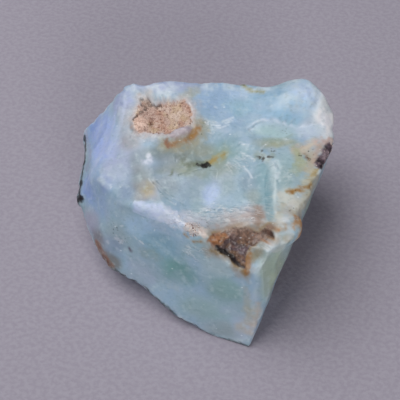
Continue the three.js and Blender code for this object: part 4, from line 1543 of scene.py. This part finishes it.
@dataclass
class NodeSheet:
    """A node tree that is being written, with short ways to add and join its nodes."""

    tree: Tree

    def add(self, kind: str, **settings: object) -> Node:
        """Adds a node.

        Args:
            kind: which node.
            settings: its options, each by its own name.

        Returns:
            The node.
        """
        node = self.tree.nodes.new(kind)
        for name, value in settings.items():
            setattr(node, name, value)
        return node

    def feed(self, socket: Socket, value: object) -> None:
        """Gives an input a fixed value, or joins it to an output.

        Args:
            socket: the input.
            value: a number, a colour, or the output that it is joined to.
        """
        if isinstance(value, Socket):
            self.tree.links.new(value, socket)
        else:
            socket.default_value = value

    def math(self, operation: str, first: object, second: object = 0.0) -> Socket:
        """One sum on two values.

        Args:
            operation: which sum.
            first: a number, or the output that gives it.
            second: the same for the second value.

        Returns:
            The output with the result.
        """
        node = self.add("ShaderNodeMath", operation=operation)
        self.feed(node.inputs[0], first)
        self.feed(node.inputs[1], second)
        return node.outputs[0]

    def span(
        self, value: object, low: float, high: float, start: float = 0.0, end: float = 1.0
    ) -> Socket:
        """A smooth change from one value to another.

        Args:
            value: the output that is followed.
            low: where on it the change begins.
            high: where on it the change ends.
            start: what comes out below that stretch.
            end: what comes out above it.

        Returns:
            The output with the changed value.
        """
        node = self.add("ShaderNodeMapRange", interpolation_type="SMOOTHSTEP")
        for name, number in (("From Min", low), ("From Max", high), ("To Min", start), ("To Max", end)):
            node.inputs[name].default_value = number
        self.feed(node.inputs["Value"], value)
        return node.outputs["Result"]

    def noise(self, places: Socket, size: float, detail: float = 2.0) -> Socket:
        """Smooth noise from 0 to 1.

        Args:
            places: the places that it is read at, in metres.
            size: the width of its lumps in millimetres.
            detail: how many times finer noise is added.

        Returns:
            The output with the noise.
        """
        node = self.add("ShaderNodeTexNoise")
        self.feed(node.inputs["Vector"], places)
        node.inputs["Scale"].default_value = 1 / (size * MILLIMETRE)
        node.inputs["Detail"].default_value = detail
        return node.outputs["Fac"]

    def cells(self, places: Socket, size: float) -> Socket:
        """Distance from scattered middles, one in each cell.

        Args:
            places: the places that it is read at, in metres.
            size: the width of a cell in millimetres.

        Returns:
            The output with the distance, in cells.
        """
        node = self.add("ShaderNodeTexVoronoi")
        self.feed(node.inputs["Vector"], places)
        node.inputs["Scale"].default_value = 1 / (size * MILLIMETRE)
        return node.outputs["Distance"]

    def blend(self, share: object, first: object, second: object) -> Socket:
        """The first colour turned into the second as far as the share says.

        Args:
            share: a number from 0 to 1, or the output that gives it.
            first: a colour, or the output that gives it.
            second: the same for the second colour.

        Returns:
            The output with the blend. A mix node has its colours at inputs 6 and 7 and output 2.
        """
        node = self.add("ShaderNodeMix", data_type="RGBA")
        self.feed(node.inputs[0], share)
        self.feed(node.inputs[6], first)
        self.feed(node.inputs[7], second)
        return node.outputs[2]

    def stretched(self, along: float, across: float, turn: float) -> Socket:
        """The object's own places, squeezed so that noise on them runs in ribs.

        Args:
            along: the scale along the ribs.
            across: the scale across them.
            turn: how far they are turned about the upright, in radians.

        Returns:
            The output with the places.
        """
        places = self.add("ShaderNodeTexCoord").outputs["Object"]
        node = self.add("ShaderNodeMapping")
        self.feed(node.inputs["Vector"], places)
        node.inputs["Rotation"].default_value = (0, 0, turn)
        node.inputs["Scale"].default_value = (along, across, across)
        return node.outputs["Vector"]

    def places(self) -> Socket:
        """The object's own places, in metres."""
        return self.add("ShaderNodeTexCoord").outputs["Object"]

    def emboss(self, shader: Node, height: Socket, depth: float) -> None:
        """Gives a shader a relief that is seen but not built.

        Args:
            shader: the shader of the material.
            height: the output with the relief, from about 0 to 1.
            depth: how deep that is, in millimetres.
        """
        bump = self.add("ShaderNodeBump")
        bump.inputs["Distance"].default_value = depth * MILLIMETRE
        bump.inputs["Strength"].default_value = 1.0
        self.feed(bump.inputs["Height"], height)
        self.feed(shader.inputs["Normal"], bump.outputs["Normal"])


def new_material(name: str) -> tuple[bpy.types.Material, NodeSheet, Node]:
    """Makes a material of nodes.

    Args:
        name: what it is called.

    Returns:
        The material, the sheet to write on and its shader.
    """
    material = bpy.data.materials.new(name)
    material.use_nodes = True
    sheet = NodeSheet(material.node_tree)
    return material, sheet, sheet.tree.nodes["Principled BSDF"]


def shade(code: str) -> tuple[float, float, float, float]:
    """A colour code as the four numbers that a colour socket takes."""
    return (*linear_colour(code), 1.0)


@dataclass
class StoneEffects:
    """The groups of nodes that more than one of the stone's materials share."""

    mottle: Tree = field(init=False)
    grain: Tree = field(init=False)
    ribs: Tree = field(init=False)
    chalk: Tree = field(init=False)
    specks: Tree = field(init=False)
    milk_colour: str = "c5d6dc"
    deep_colour: str = "6f8d92"
    fleck_colour: str = "e6edf2"
    crest_colour: str = "e9ebef"
    powder_colour: str = "dedde0"
    dust_colour: str = "7d7468"
    speck_colour: str = "2a2c22"

    def __post_init__(self) -> None:
        """Writes the five groups."""
        self.mottle = self.make_mottle()
        self.grain = self.make_grain()
        self.ribs = self.make_ribs()
        self.chalk = self.make_chalk()
        self.specks = self.make_specks()

    def start(
        self, name: str, takes: dict[str, str], gives: dict[str, str]
    ) -> tuple[NodeSheet, Node, Node]:
        """Opens a new group.

        Args:
            name: what the group is called.
            takes: its inputs and the kind of each.
            gives: its outputs and the kind of each.

        Returns:
            The sheet to write on, the node of its inputs and the node of its outputs.
        """
        tree = bpy.data.node_groups.new(name, "ShaderNodeTree")
        for label, kind in takes.items():
            tree.interface.new_socket(name=label, in_out="INPUT", socket_type=kind)
        for label, kind in gives.items():
            tree.interface.new_socket(name=label, in_out="OUTPUT", socket_type=kind)
        sheet = NodeSheet(tree)
        return sheet, sheet.add("NodeGroupInput"), sheet.add("NodeGroupOutput")

    def make_mottle(self) -> Tree:
        """Milky patches a millimetre across, and sparse tiny white flecks.

        Returns:
            The group.
        """
        both = {"Color": "NodeSocketColor", "Amount": "NodeSocketFloat"}
        sheet, takes, gives = self.start("milky_mottle", both, {"Color": "NodeSocketColor"})
        places = sheet.places()
        pale = sheet.span(sheet.noise(places, 1.5, 3), 0.5, 0.75)
        pale = sheet.math("MULTIPLY", pale, sheet.math("MULTIPLY", takes.outputs["Amount"], 0.5))
        colour = sheet.blend(pale, takes.outputs["Color"], shade(self.milk_colour))
        deep = sheet.span(sheet.noise(sheet.stretched(1, 1.6, 0.5), 1.1, 3), 0.52, 0.75)
        deep = sheet.math("MULTIPLY", deep, sheet.math("MULTIPLY", takes.outputs["Amount"], 0.45))
        colour = sheet.blend(deep, colour, shade(self.deep_colour))
        fleck = sheet.span(sheet.cells(sheet.stretched(0.6, 1, 0.7), 1.7), 0.05, 0.13, 1.0, 0.0)
        fleck = sheet.math("MULTIPLY", fleck, sheet.span(sheet.noise(places, 4.5, 1), 0.52, 0.62))
        colour = sheet.blend(sheet.math("MULTIPLY", fleck, 0.5), colour, shade(self.fleck_colour))
        sheet.feed(gives.inputs["Color"], colour)
        return sheet.tree

    def make_grain(self) -> Tree:
        """The fine unevenness of a broken face, as a height.

        Returns:
            The group.
        """
        taken = {"Amount": "NodeSocketFloat"}
        sheet, takes, gives = self.start("broken_grain", taken, {"Height": "NodeSocketFloat"})
        coarse = sheet.noise(sheet.stretched(1, 1.8, -0.3), 1.3, 2)
        fine = sheet.noise(sheet.places(), 0.45, 2)
        height = sheet.math("ADD", coarse, sheet.math("MULTIPLY", fine, 0.35))
        sheet.feed(gives.inputs["Height"], sheet.math("MULTIPLY", height, takes.outputs["Amount"]))
        return sheet.tree

    def make_ribs(self) -> Tree:
        """Fine torn ribs that run across the stone, with pale broken crests.

        Returns:
            The group.
        """
        takes_kinds = {"Color": "NodeSocketColor", "Amount": "NodeSocketFloat"}
        gives_kinds = {"Color": "NodeSocketColor", "Height": "NodeSocketFloat"}
        sheet, takes, gives = self.start("torn_ribs", takes_kinds, gives_kinds)
        places = sheet.stretched(0.3, 1, -0.12)
        rib = sheet.math("ABSOLUTE", sheet.math("SUBTRACT", sheet.noise(places, 0.8, 2), 0.5))
        crest = sheet.span(rib, 0.0, 0.07, 1.0, 0.0)
        amount = sheet.math("MULTIPLY", crest, takes.outputs["Amount"])
        patches = sheet.span(sheet.noise(sheet.places(), 1.6, 2), 0.42, 0.62)
        amount = sheet.math("MULTIPLY", amount, patches)
        share = sheet.math("MULTIPLY", amount, 0.6)
        colour = sheet.blend(share, takes.outputs["Color"], shade(self.crest_colour))
        sheet.feed(gives.inputs["Color"], colour)
        sheet.feed(gives.inputs["Height"], amount)
        return sheet.tree

    def make_chalk(self) -> Tree:
        """White powder that lies in small broken patches.

        Returns:
            The group.
        """
        both = {"Color": "NodeSocketColor", "Amount": "NodeSocketFloat"}
        sheet, takes, gives = self.start("chalk_powder", both, {"Color": "NodeSocketColor"})
        places = sheet.places()
        white = sheet.span(sheet.noise(places, 0.7, 3), 0.5, 0.66)
        white = sheet.math("MULTIPLY", white, sheet.math("MULTIPLY", takes.outputs["Amount"], 0.7))
        colour = sheet.blend(white, takes.outputs["Color"], shade(self.powder_colour))
        dust = sheet.span(sheet.noise(places, 0.5, 2), 0.36, 0.42, 1.0, 0.0)
        dust = sheet.math("MULTIPLY", dust, sheet.math("MULTIPLY", takes.outputs["Amount"], 0.6))
        sheet.feed(gives.inputs["Color"], sheet.blend(dust, colour, shade(self.dust_colour)))
        return sheet.tree

    def make_specks(self) -> Tree:
        """Tiny black-green specks in the skin.

        Returns:
            The group.
        """
        both = {"Color": "NodeSocketColor", "Amount": "NodeSocketFloat"}
        sheet, takes, gives = self.start("dark_specks", both, {"Color": "NodeSocketColor"})
        places = sheet.places()
        dot = sheet.span(sheet.cells(places, 0.75), 0.2, 0.32, 1.0, 0.0)
        some = sheet.span(sheet.noise(places, 1.3, 1), 0.5, 0.58)
        dot = sheet.math("MULTIPLY", sheet.math("MULTIPLY", dot, some), takes.outputs["Amount"])
        share = sheet.math("MULTIPLY", dot, 0.9)
        colour = sheet.blend(share, takes.outputs["Color"], shade(self.speck_colour))
        sheet.feed(gives.inputs["Color"], colour)
        return sheet.tree


@dataclass(frozen=True)
class StoneFinish:
    """How one of the stone's surfaces looks close up, and how it takes the light."""

    name: str
    surface: Surface
    smoothest: float
    roughest: float
    depth_of_light: float
    mottling: float
    unevenness: float
    gap_colour: str = ""
    gap_share: float = 0.0
    relief_depth: float = 0.2
    rib_share: float = 0.5

    def build(self, effects: StoneEffects) -> bpy.types.Material:
        """Writes the material.

        Args:
            effects: the groups that the stone's materials share.

        Returns:
            The material, with colours and marks from the skin and finer detail of its own.
        """
        material, sheet, shader = new_material(self.name)
        painted = sheet.add("ShaderNodeAttribute", attribute_name="stone_colour")
        marks = sheet.add("ShaderNodeSeparateColor")
        written = sheet.add("ShaderNodeAttribute", attribute_name="stone_marks")
        sheet.feed(marks.inputs["Color"], written.outputs["Color"])
        milky = self.use(sheet, effects.mottle, painted.outputs["Color"], self.mottling)
        torn = self.use(sheet, effects.ribs, milky.outputs["Color"], marks.outputs["Red"])
        chalky = self.use(sheet, effects.chalk, torn.outputs["Color"], marks.outputs["Green"])
        specked = self.use(sheet, effects.specks, chalky.outputs["Color"], marks.outputs["Blue"])
        colour = specked.outputs["Color"]
        if self.gap_colour:
            gaps = sheet.span(sheet.noise(sheet.places(), 0.6, 3), 0.4, 0.6, 0.0, self.gap_share)
            colour = sheet.blend(gaps, colour, shade(self.gap_colour))
        sheet.feed(shader.inputs["Base Color"], colour)
        uneven = sheet.noise(sheet.places(), 2.2, 3)
        sheet.feed(shader.inputs["Roughness"], sheet.span(uneven, 0.3, 0.7, self.smoothest, self.roughest))
        grain = sheet.add("ShaderNodeGroup", node_tree=effects.grain)
        grain.inputs["Amount"].default_value = self.unevenness
        ribs = sheet.math("MULTIPLY", torn.outputs["Height"], self.rib_share)
        sheet.emboss(shader, sheet.math("ADD", grain.outputs["Height"], ribs), self.relief_depth)
        shader.inputs["Subsurface Weight"].default_value = self.depth_of_light
        shader.inputs["Subsurface Radius"].default_value = (1.0, 1.0, 1.0)
        shader.inputs["Subsurface Scale"].default_value = MILLIMETRE
        return material

    def use(
        self, sheet: NodeSheet, group: Tree, colour: object, amount: object
    ) -> Node:
        """Passes a colour through one of the shared groups.

        Args:
            sheet: the material's nodes.
            group: the shared group.
            colour: the colour that goes in.
            amount: how strongly the group works, as a number or an output.

        Returns:
            The node of the group.
        """
        node = sheet.add("ShaderNodeGroup", node_tree=group)
        sheet.feed(node.inputs["Color"], colour)
        sheet.feed(node.inputs["Amount"], amount)
        return node


STONE_FINISHES = (
    StoneFinish("opal_milk", Surface.OPAL, 0.28, 0.5, 0.6, 0.55, 0.3),
    StoneFinish("crust_bed", Surface.CRUST, 0.8, 0.95, 0.0, 0.1, 0.7, "8a6252", 0.5),
    StoneFinish("brown_iron", Surface.IRON, 0.3, 0.5, 0.0, 0.05, 0.6, "1d1618", 0.4),
)


@dataclass(frozen=True)
class GrainFinish:
    """The look of the loose grains: each takes the colour of its place, paler or darker by chance."""

    name: str = "sand_grains"
    roughness: float = 0.55
    relief_depth: float = 0.03
    pale_colour: str = "ecdccf"
    dark_colour: str = "6e4a3c"
    dust_colour: str = "b98a70"

    def build(self) -> bpy.types.Material:
        """Writes the material.

        Returns:
            The material, with its colour from the place of each grain and a chance of its own.
        """
        material, sheet, shader = new_material(self.name)
        here = sheet.add("ShaderNodeAttribute", attribute_name="stone_colour").outputs["Color"]
        chance = sheet.add("ShaderNodeAttribute", attribute_name="grain_chance").outputs["Fac"]
        colour = sheet.blend(sheet.span(chance, 0.55, 1.0, 0.0, 0.5), here, shade(self.pale_colour))
        colour = sheet.blend(sheet.span(chance, 0.03, 0.16, 0.75, 0.0), colour, shade(self.dark_colour))
        dust = sheet.span(sheet.noise(sheet.places(), 0.18, 2), 0.45, 0.7, 0.0, 0.25)
        colour = sheet.blend(dust, colour, shade(self.dust_colour))
        sheet.feed(shader.inputs["Base Color"], colour)
        shader.inputs["Roughness"].default_value = self.roughness
        sheet.emboss(shader, sheet.noise(sheet.places(), 0.12, 2), self.relief_depth)
        return material


@dataclass
class LooseGrains:
    """Grains of sand and crumbs, scattered by a node tree over the skin that is marked for them."""

    closest: float = 0.22
    most_per_area: float = 17.0
    smallest: float = 0.13
    largest: float = 0.24
    flattest: Place = (0.7, 0.7, 0.6)
    fullest: Place = (1.3, 1.2, 1.0)
    full_turn: float = 6.28
    seed: int = 11
    size_seed: int = 3
    squash_seed: int = 5
    turn_seed: int = 7
    least_mark: float = 0.02
    finish: GrainFinish = field(default_factory=GrainFinish)

    def make_bed(self, skin: Skin, placed: Array) -> Piece:
        """Copies the marked part of the skin.

        Args:
            skin: the stone's skin, marked and coloured.
            placed: its places in metres.

        Returns:
            An object with the marked triangles, their colours and how thickly the grains lie.
        """
        share = skin.marks[:, Mark.GRAINS.value]
        kept = skin.triangles[(share[skin.triangles] > self.least_mark).all(1)]
        used, renumbered = np.unique(kept, return_inverse=True)
        bed = make_mesh("grain_bed", placed[used], renumbered.reshape(-1, 3))
        write_colours(bed, "stone_colour", np.concatenate([skin.colours[used], np.ones((len(used), 1))], 1))
        layer = bed.data.attributes.new("thickness", "FLOAT", "POINT")
        layer.data.foreach_set("value", share[used].astype(np.float32))
        return bed

    def make_tree(self, material: bpy.types.Material) -> Tree:
        """Writes the node tree that scatters the grains.

        Args:
            material: the finish of the grains.

        Returns:
            The tree, with the closest distance, the number to an area and the sizes as its inputs.
        """
        tree = bpy.data.node_groups.new("scattered_grains", "GeometryNodeTree")
        tree.interface.new_socket(name="Geometry", in_out="INPUT", socket_type="NodeSocketGeometry")
        for label in ("Closest", "Most Per Area", "Smallest", "Largest"):
            tree.interface.new_socket(name=label, in_out="INPUT", socket_type="NodeSocketFloat")
        tree.interface.new_socket(name="Seed", in_out="INPUT", socket_type="NodeSocketInt")
        tree.interface.new_socket(name="Geometry", in_out="OUTPUT", socket_type="NodeSocketGeometry")
        sheet = NodeSheet(tree)
        takes = sheet.add("NodeGroupInput")
        scatter = sheet.add("GeometryNodeDistributePointsOnFaces", distribute_method="POISSON")
        sheet.feed(scatter.inputs["Mesh"], takes.outputs["Geometry"])
        sheet.feed(scatter.inputs["Distance Min"], takes.outputs["Closest"])
        sheet.feed(scatter.inputs["Density Max"], takes.outputs["Most Per Area"])
        sheet.feed(scatter.inputs["Seed"], takes.outputs["Seed"])
        thickness = sheet.add("GeometryNodeInputNamedAttribute", data_type="FLOAT")
        thickness.inputs["Name"].default_value = "thickness"
        sheet.feed(scatter.inputs["Density Factor"], thickness.outputs["Attribute"])
        chance = sheet.add("FunctionNodeRandomValue", data_type="FLOAT")
        sheet.feed(chance.inputs["Seed"], takes.outputs["Seed"])
        keep = sheet.add("GeometryNodeStoreNamedAttribute", data_type="FLOAT", domain="POINT")
        keep.inputs["Name"].default_value = "grain_chance"
        sheet.feed(keep.inputs["Geometry"], scatter.outputs["Points"])
        sheet.feed(keep.inputs["Value"], chance.outputs[1])
        grain = sheet.add("GeometryNodeMeshIcoSphere")
        grain.inputs["Radius"].default_value = 1.0
        grain.inputs["Subdivisions"].default_value = 1
        size = sheet.add("FunctionNodeRandomValue", data_type="FLOAT")
        sheet.feed(size.inputs[2], takes.outputs["Smallest"])
        sheet.feed(size.inputs[3], takes.outputs["Largest"])
        size.inputs["Seed"].default_value = self.size_seed
        squash = sheet.add("FunctionNodeRandomValue", data_type="FLOAT_VECTOR")
        squash.inputs[0].default_value = self.flattest
        squash.inputs[1].default_value = self.fullest
        squash.inputs["Seed"].default_value = self.squash_seed
        scale = sheet.add("ShaderNodeVectorMath", operation="SCALE")
        sheet.feed(scale.inputs[0], squash.outputs[0])
        sheet.feed(scale.inputs["Scale"], size.outputs[1])
        turn = sheet.add("FunctionNodeRandomValue", data_type="FLOAT_VECTOR")
        turn.inputs[1].default_value = (self.full_turn,) * 3
        turn.inputs["Seed"].default_value = self.turn_seed
        lay = sheet.add("GeometryNodeInstanceOnPoints")
        sheet.feed(lay.inputs["Points"], keep.outputs["Geometry"])
        sheet.feed(lay.inputs["Instance"], grain.outputs["Mesh"])
        sheet.feed(lay.inputs["Rotation"], turn.outputs[0])
        sheet.feed(lay.inputs["Scale"], scale.outputs["Vector"])
        whole = sheet.add("GeometryNodeRealizeInstances")
        sheet.feed(whole.inputs["Geometry"], lay.outputs["Instances"])
        dress = sheet.add("GeometryNodeSetMaterial")
        sheet.feed(dress.inputs["Geometry"], whole.outputs["Geometry"])
        dress.inputs["Material"].default_value = material
        gives = sheet.add("NodeGroupOutput")
        sheet.feed(gives.inputs["Geometry"], dress.outputs["Geometry"])
        return tree

    def build(self, skin: Skin, placed: Array) -> Piece:
        """Scatters the grains and makes them one plain mesh.

        Args:
            skin: the stone's skin, marked and coloured.
            placed: its places in metres.

        Returns:
            The grains, as one object.
        """
        bed = self.make_bed(skin, placed)
        material = self.finish.build()
        tree = self.make_tree(material)
        spread = bed.modifiers.new("scatter", "NODES")
        spread.node_group = tree
        values = {
            "Closest": self.closest * MILLIMETRE,
            "Most Per Area": self.most_per_area / MILLIMETRE**2,
            "Smallest": self.smallest * MILLIMETRE,
            "Largest": self.largest * MILLIMETRE,
            "Seed": self.seed,
        }
        for socket in tree.interface.items_tree:
            if socket.in_out == "INPUT" and socket.name in values:
                spread[socket.identifier] = values[socket.name]
        bed.update_tag()
        ready = bed.evaluated_get(bpy.context.evaluated_depsgraph_get())
        mesh = bpy.data.meshes.new_from_object(ready)
        bed.modifiers.remove(spread)
        bpy.data.objects.remove(bed)
        mesh.name = "opal_grains"
        grains = bpy.data.objects.new("opal_grains", mesh)
        bpy.context.scene.collection.objects.link(grains)
        if not mesh.materials:
            mesh.materials.append(material)
        return grains


@dataclass
class OpalStone:
    """The stone: its skin, worked by each kind of mineral and break on it, and its loose grains."""

    shape: StoneShape = field(default_factory=StoneShape)
    net: BallNet = field(default_factory=BallNet)
    body: OpalBody = field(default_factory=OpalBody)
    crust: CrustPatch = field(default_factory=CrustPatch)
    iron: IronHollow = field(default_factory=IronHollow)
    purple: PurpleSkin = field(default_factory=PurpleSkin)
    grains: LooseGrains = field(default_factory=LooseGrains)
    finishes: tuple[StoneFinish, ...] = STONE_FINISHES
    flat_rim: float = 0.05
    full_relief: float = 0.8

    def worked_skin(self) -> Skin:
        """Works the skin. The relief fades out towards the flat that the stone rests on.

        Returns:
            The skin with all its relief, colours and marks.
        """
        ways, triangles = self.net.build()
        points = self.shape.skin(ways)
        skin = Skin(points, self.shape.slope(points), triangles)
        self.body.relief(skin)
        self.body.paint(skin)
        for part in (*SEAMS, *HACKLES, *STEPS, *BANDS):
            part.work(skin)
        self.crust.work(skin)
        self.iron.work(skin)
        self.purple.work(skin)
        for part in (*SPECKS, *(band for band in BANDS if band.over_crust)):
            part.work(skin)
        skin.height *= ramp(points[:, 2], self.flat_rim, self.full_relief)
        return skin

    def build(self) -> tuple[Piece, Piece]:
        """Makes the stone and its loose grains in the model's frame.

        Returns:
            The stone, and the grains on it.
        """
        skin = self.worked_skin()
        placed = (skin.worked() - np.array(BOX_MIDDLE)) * MILLIMETRE
        placed[:, 2] = np.maximum(placed[:, 2], 0)
        stone = make_mesh("opal_stone", placed, skin.triangles)
        write_colours(stone, "stone_colour", np.concatenate([skin.colours, np.ones((len(placed), 1))], 1))
        write_colours(stone, "stone_marks", np.clip(skin.marks, 0, 1))
        effects = StoneEffects()
        for finish in sorted(self.finishes, key=lambda each: each.surface.value):
            stone.data.materials.append(finish.build(effects))
        stone.data.polygons.foreach_set("material_index", skin.face_surfaces().astype(np.int32))
        return stone, self.grains.build(skin, placed)


@dataclass(frozen=True)
class Lamp:
    """A soft square light that looks at the stone: where it hangs, how wide it is and how strong."""

    name: str
    place: Place
    size: float
    power: float
    colour: Place
    aim: Place = (0, 0, 0.012)

    def build(self) -> None:
        """Hangs the light and points it at the stone."""
        light = bpy.data.lights.new(self.name, "AREA")
        light.size = self.size
        light.energy = self.power
        light.color = self.colour
        lamp = bpy.data.objects.new(self.name, light)
        lamp.location = self.place
        way = Vector(self.aim) - Vector(self.place)
        lamp.rotation_euler = way.to_track_quat("-Z", "Y").to_euler()
        bpy.context.scene.collection.objects.link(lamp)


@dataclass
class Studio:
    """The plain pale floor, the soft lights and the camera."""

    floor_size: float = 3.0
    floor_colour: str = "9d99a6"
    floor_dark_colour: str = "95909e"
    floor_roughness: float = 0.9
    floor_relief: float = 0.1
    lamps: tuple[Lamp, ...] = (
        Lamp("key", (-0.28, 0.24, 0.7), 0.7, 6.6, (1.0, 0.985, 0.975)),
        Lamp("fill", (0.17, -0.55, 0.22), 0.3, 1.75, (1.0, 0.98, 0.945)),
    )
    sky_colour: Place = (0.9, 0.9, 1.0)
    sky_strength: float = 0.058
    camera_elevation: float = 58.0
    camera_distance: float = 208.0
    camera_target: Place = (-1.5, 1.2, 12)
    field_of_view: float = 26.0

    def build(self) -> None:
        """Makes the floor, the lights, the sky light and the camera."""
        self.make_floor()
        for lamp in self.lamps:
            lamp.build()
        self.make_sky()
        self.make_camera()

    def make_floor(self) -> None:
        """A flat floor of plain paper under the stone."""
        half = self.floor_size / 2
        corners = np.array([(-half, -half, 0), (half, -half, 0), (half, half, 0), (-half, half, 0)])
        floor = make_mesh("floor", corners, np.array([(0, 1, 2), (0, 2, 3)]))
        material, sheet, shader = new_material("floor_paper")
        fibres = sheet.span(sheet.noise(sheet.stretched(1, 1.4, 0.4), 1.2, 3), 0.35, 0.65)
        colour = sheet.blend(fibres, shade(self.floor_colour), shade(self.floor_dark_colour))
        sheet.feed(shader.inputs["Base Color"], colour)
        shader.inputs["Roughness"].default_value = self.floor_roughness
        sheet.emboss(shader, sheet.noise(sheet.places(), 0.8, 2), self.floor_relief)
        floor.data.materials.append(material)

    def make_sky(self) -> None:
        """Even light from all around."""
        world = bpy.data.worlds.new("sky")
        world.use_nodes = True
        background = world.node_tree.nodes["Background"]
        background.inputs["Color"].default_value = (*self.sky_colour, 1)
        background.inputs["Strength"].default_value = self.sky_strength
        bpy.context.scene.world = world
        bpy.context.scene.view_settings.view_transform = "Standard"

    def make_camera(self) -> None:
        """The camera, looking down at the stone from the front."""
        camera = bpy.data.cameras.new("camera")
        camera.sensor_fit = "HORIZONTAL"
        camera.angle = math.radians(self.field_of_view)
        target = (np.array(self.camera_target) - np.array(BOX_MIDDLE)) * MILLIMETRE
        rise = math.radians(self.camera_elevation)
        away = np.array([0, -math.cos(rise), math.sin(rise)])
        holder = bpy.data.objects.new("camera", camera)
        holder.location = target + away * self.camera_distance * MILLIMETRE
        holder.rotation_euler = (math.pi / 2 - rise, 0, 0)
        bpy.context.scene.collection.objects.link(holder)
        bpy.context.scene.camera = holder


def main() -> None:
    """Builds the stone and its studio, and ties the stone's pieces to the model."""
    logging.basicConfig(level=logging.INFO, format="%(name)s: %(message)s")
    stone, grains = OpalStone().build()
    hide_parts("opal")
    for piece in (stone, grains):
        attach(piece, "root")
        log.info("%s: %d faces", piece.name, len(piece.data.polygons))
    Studio().build()


if __name__ == "__main__":
    main()
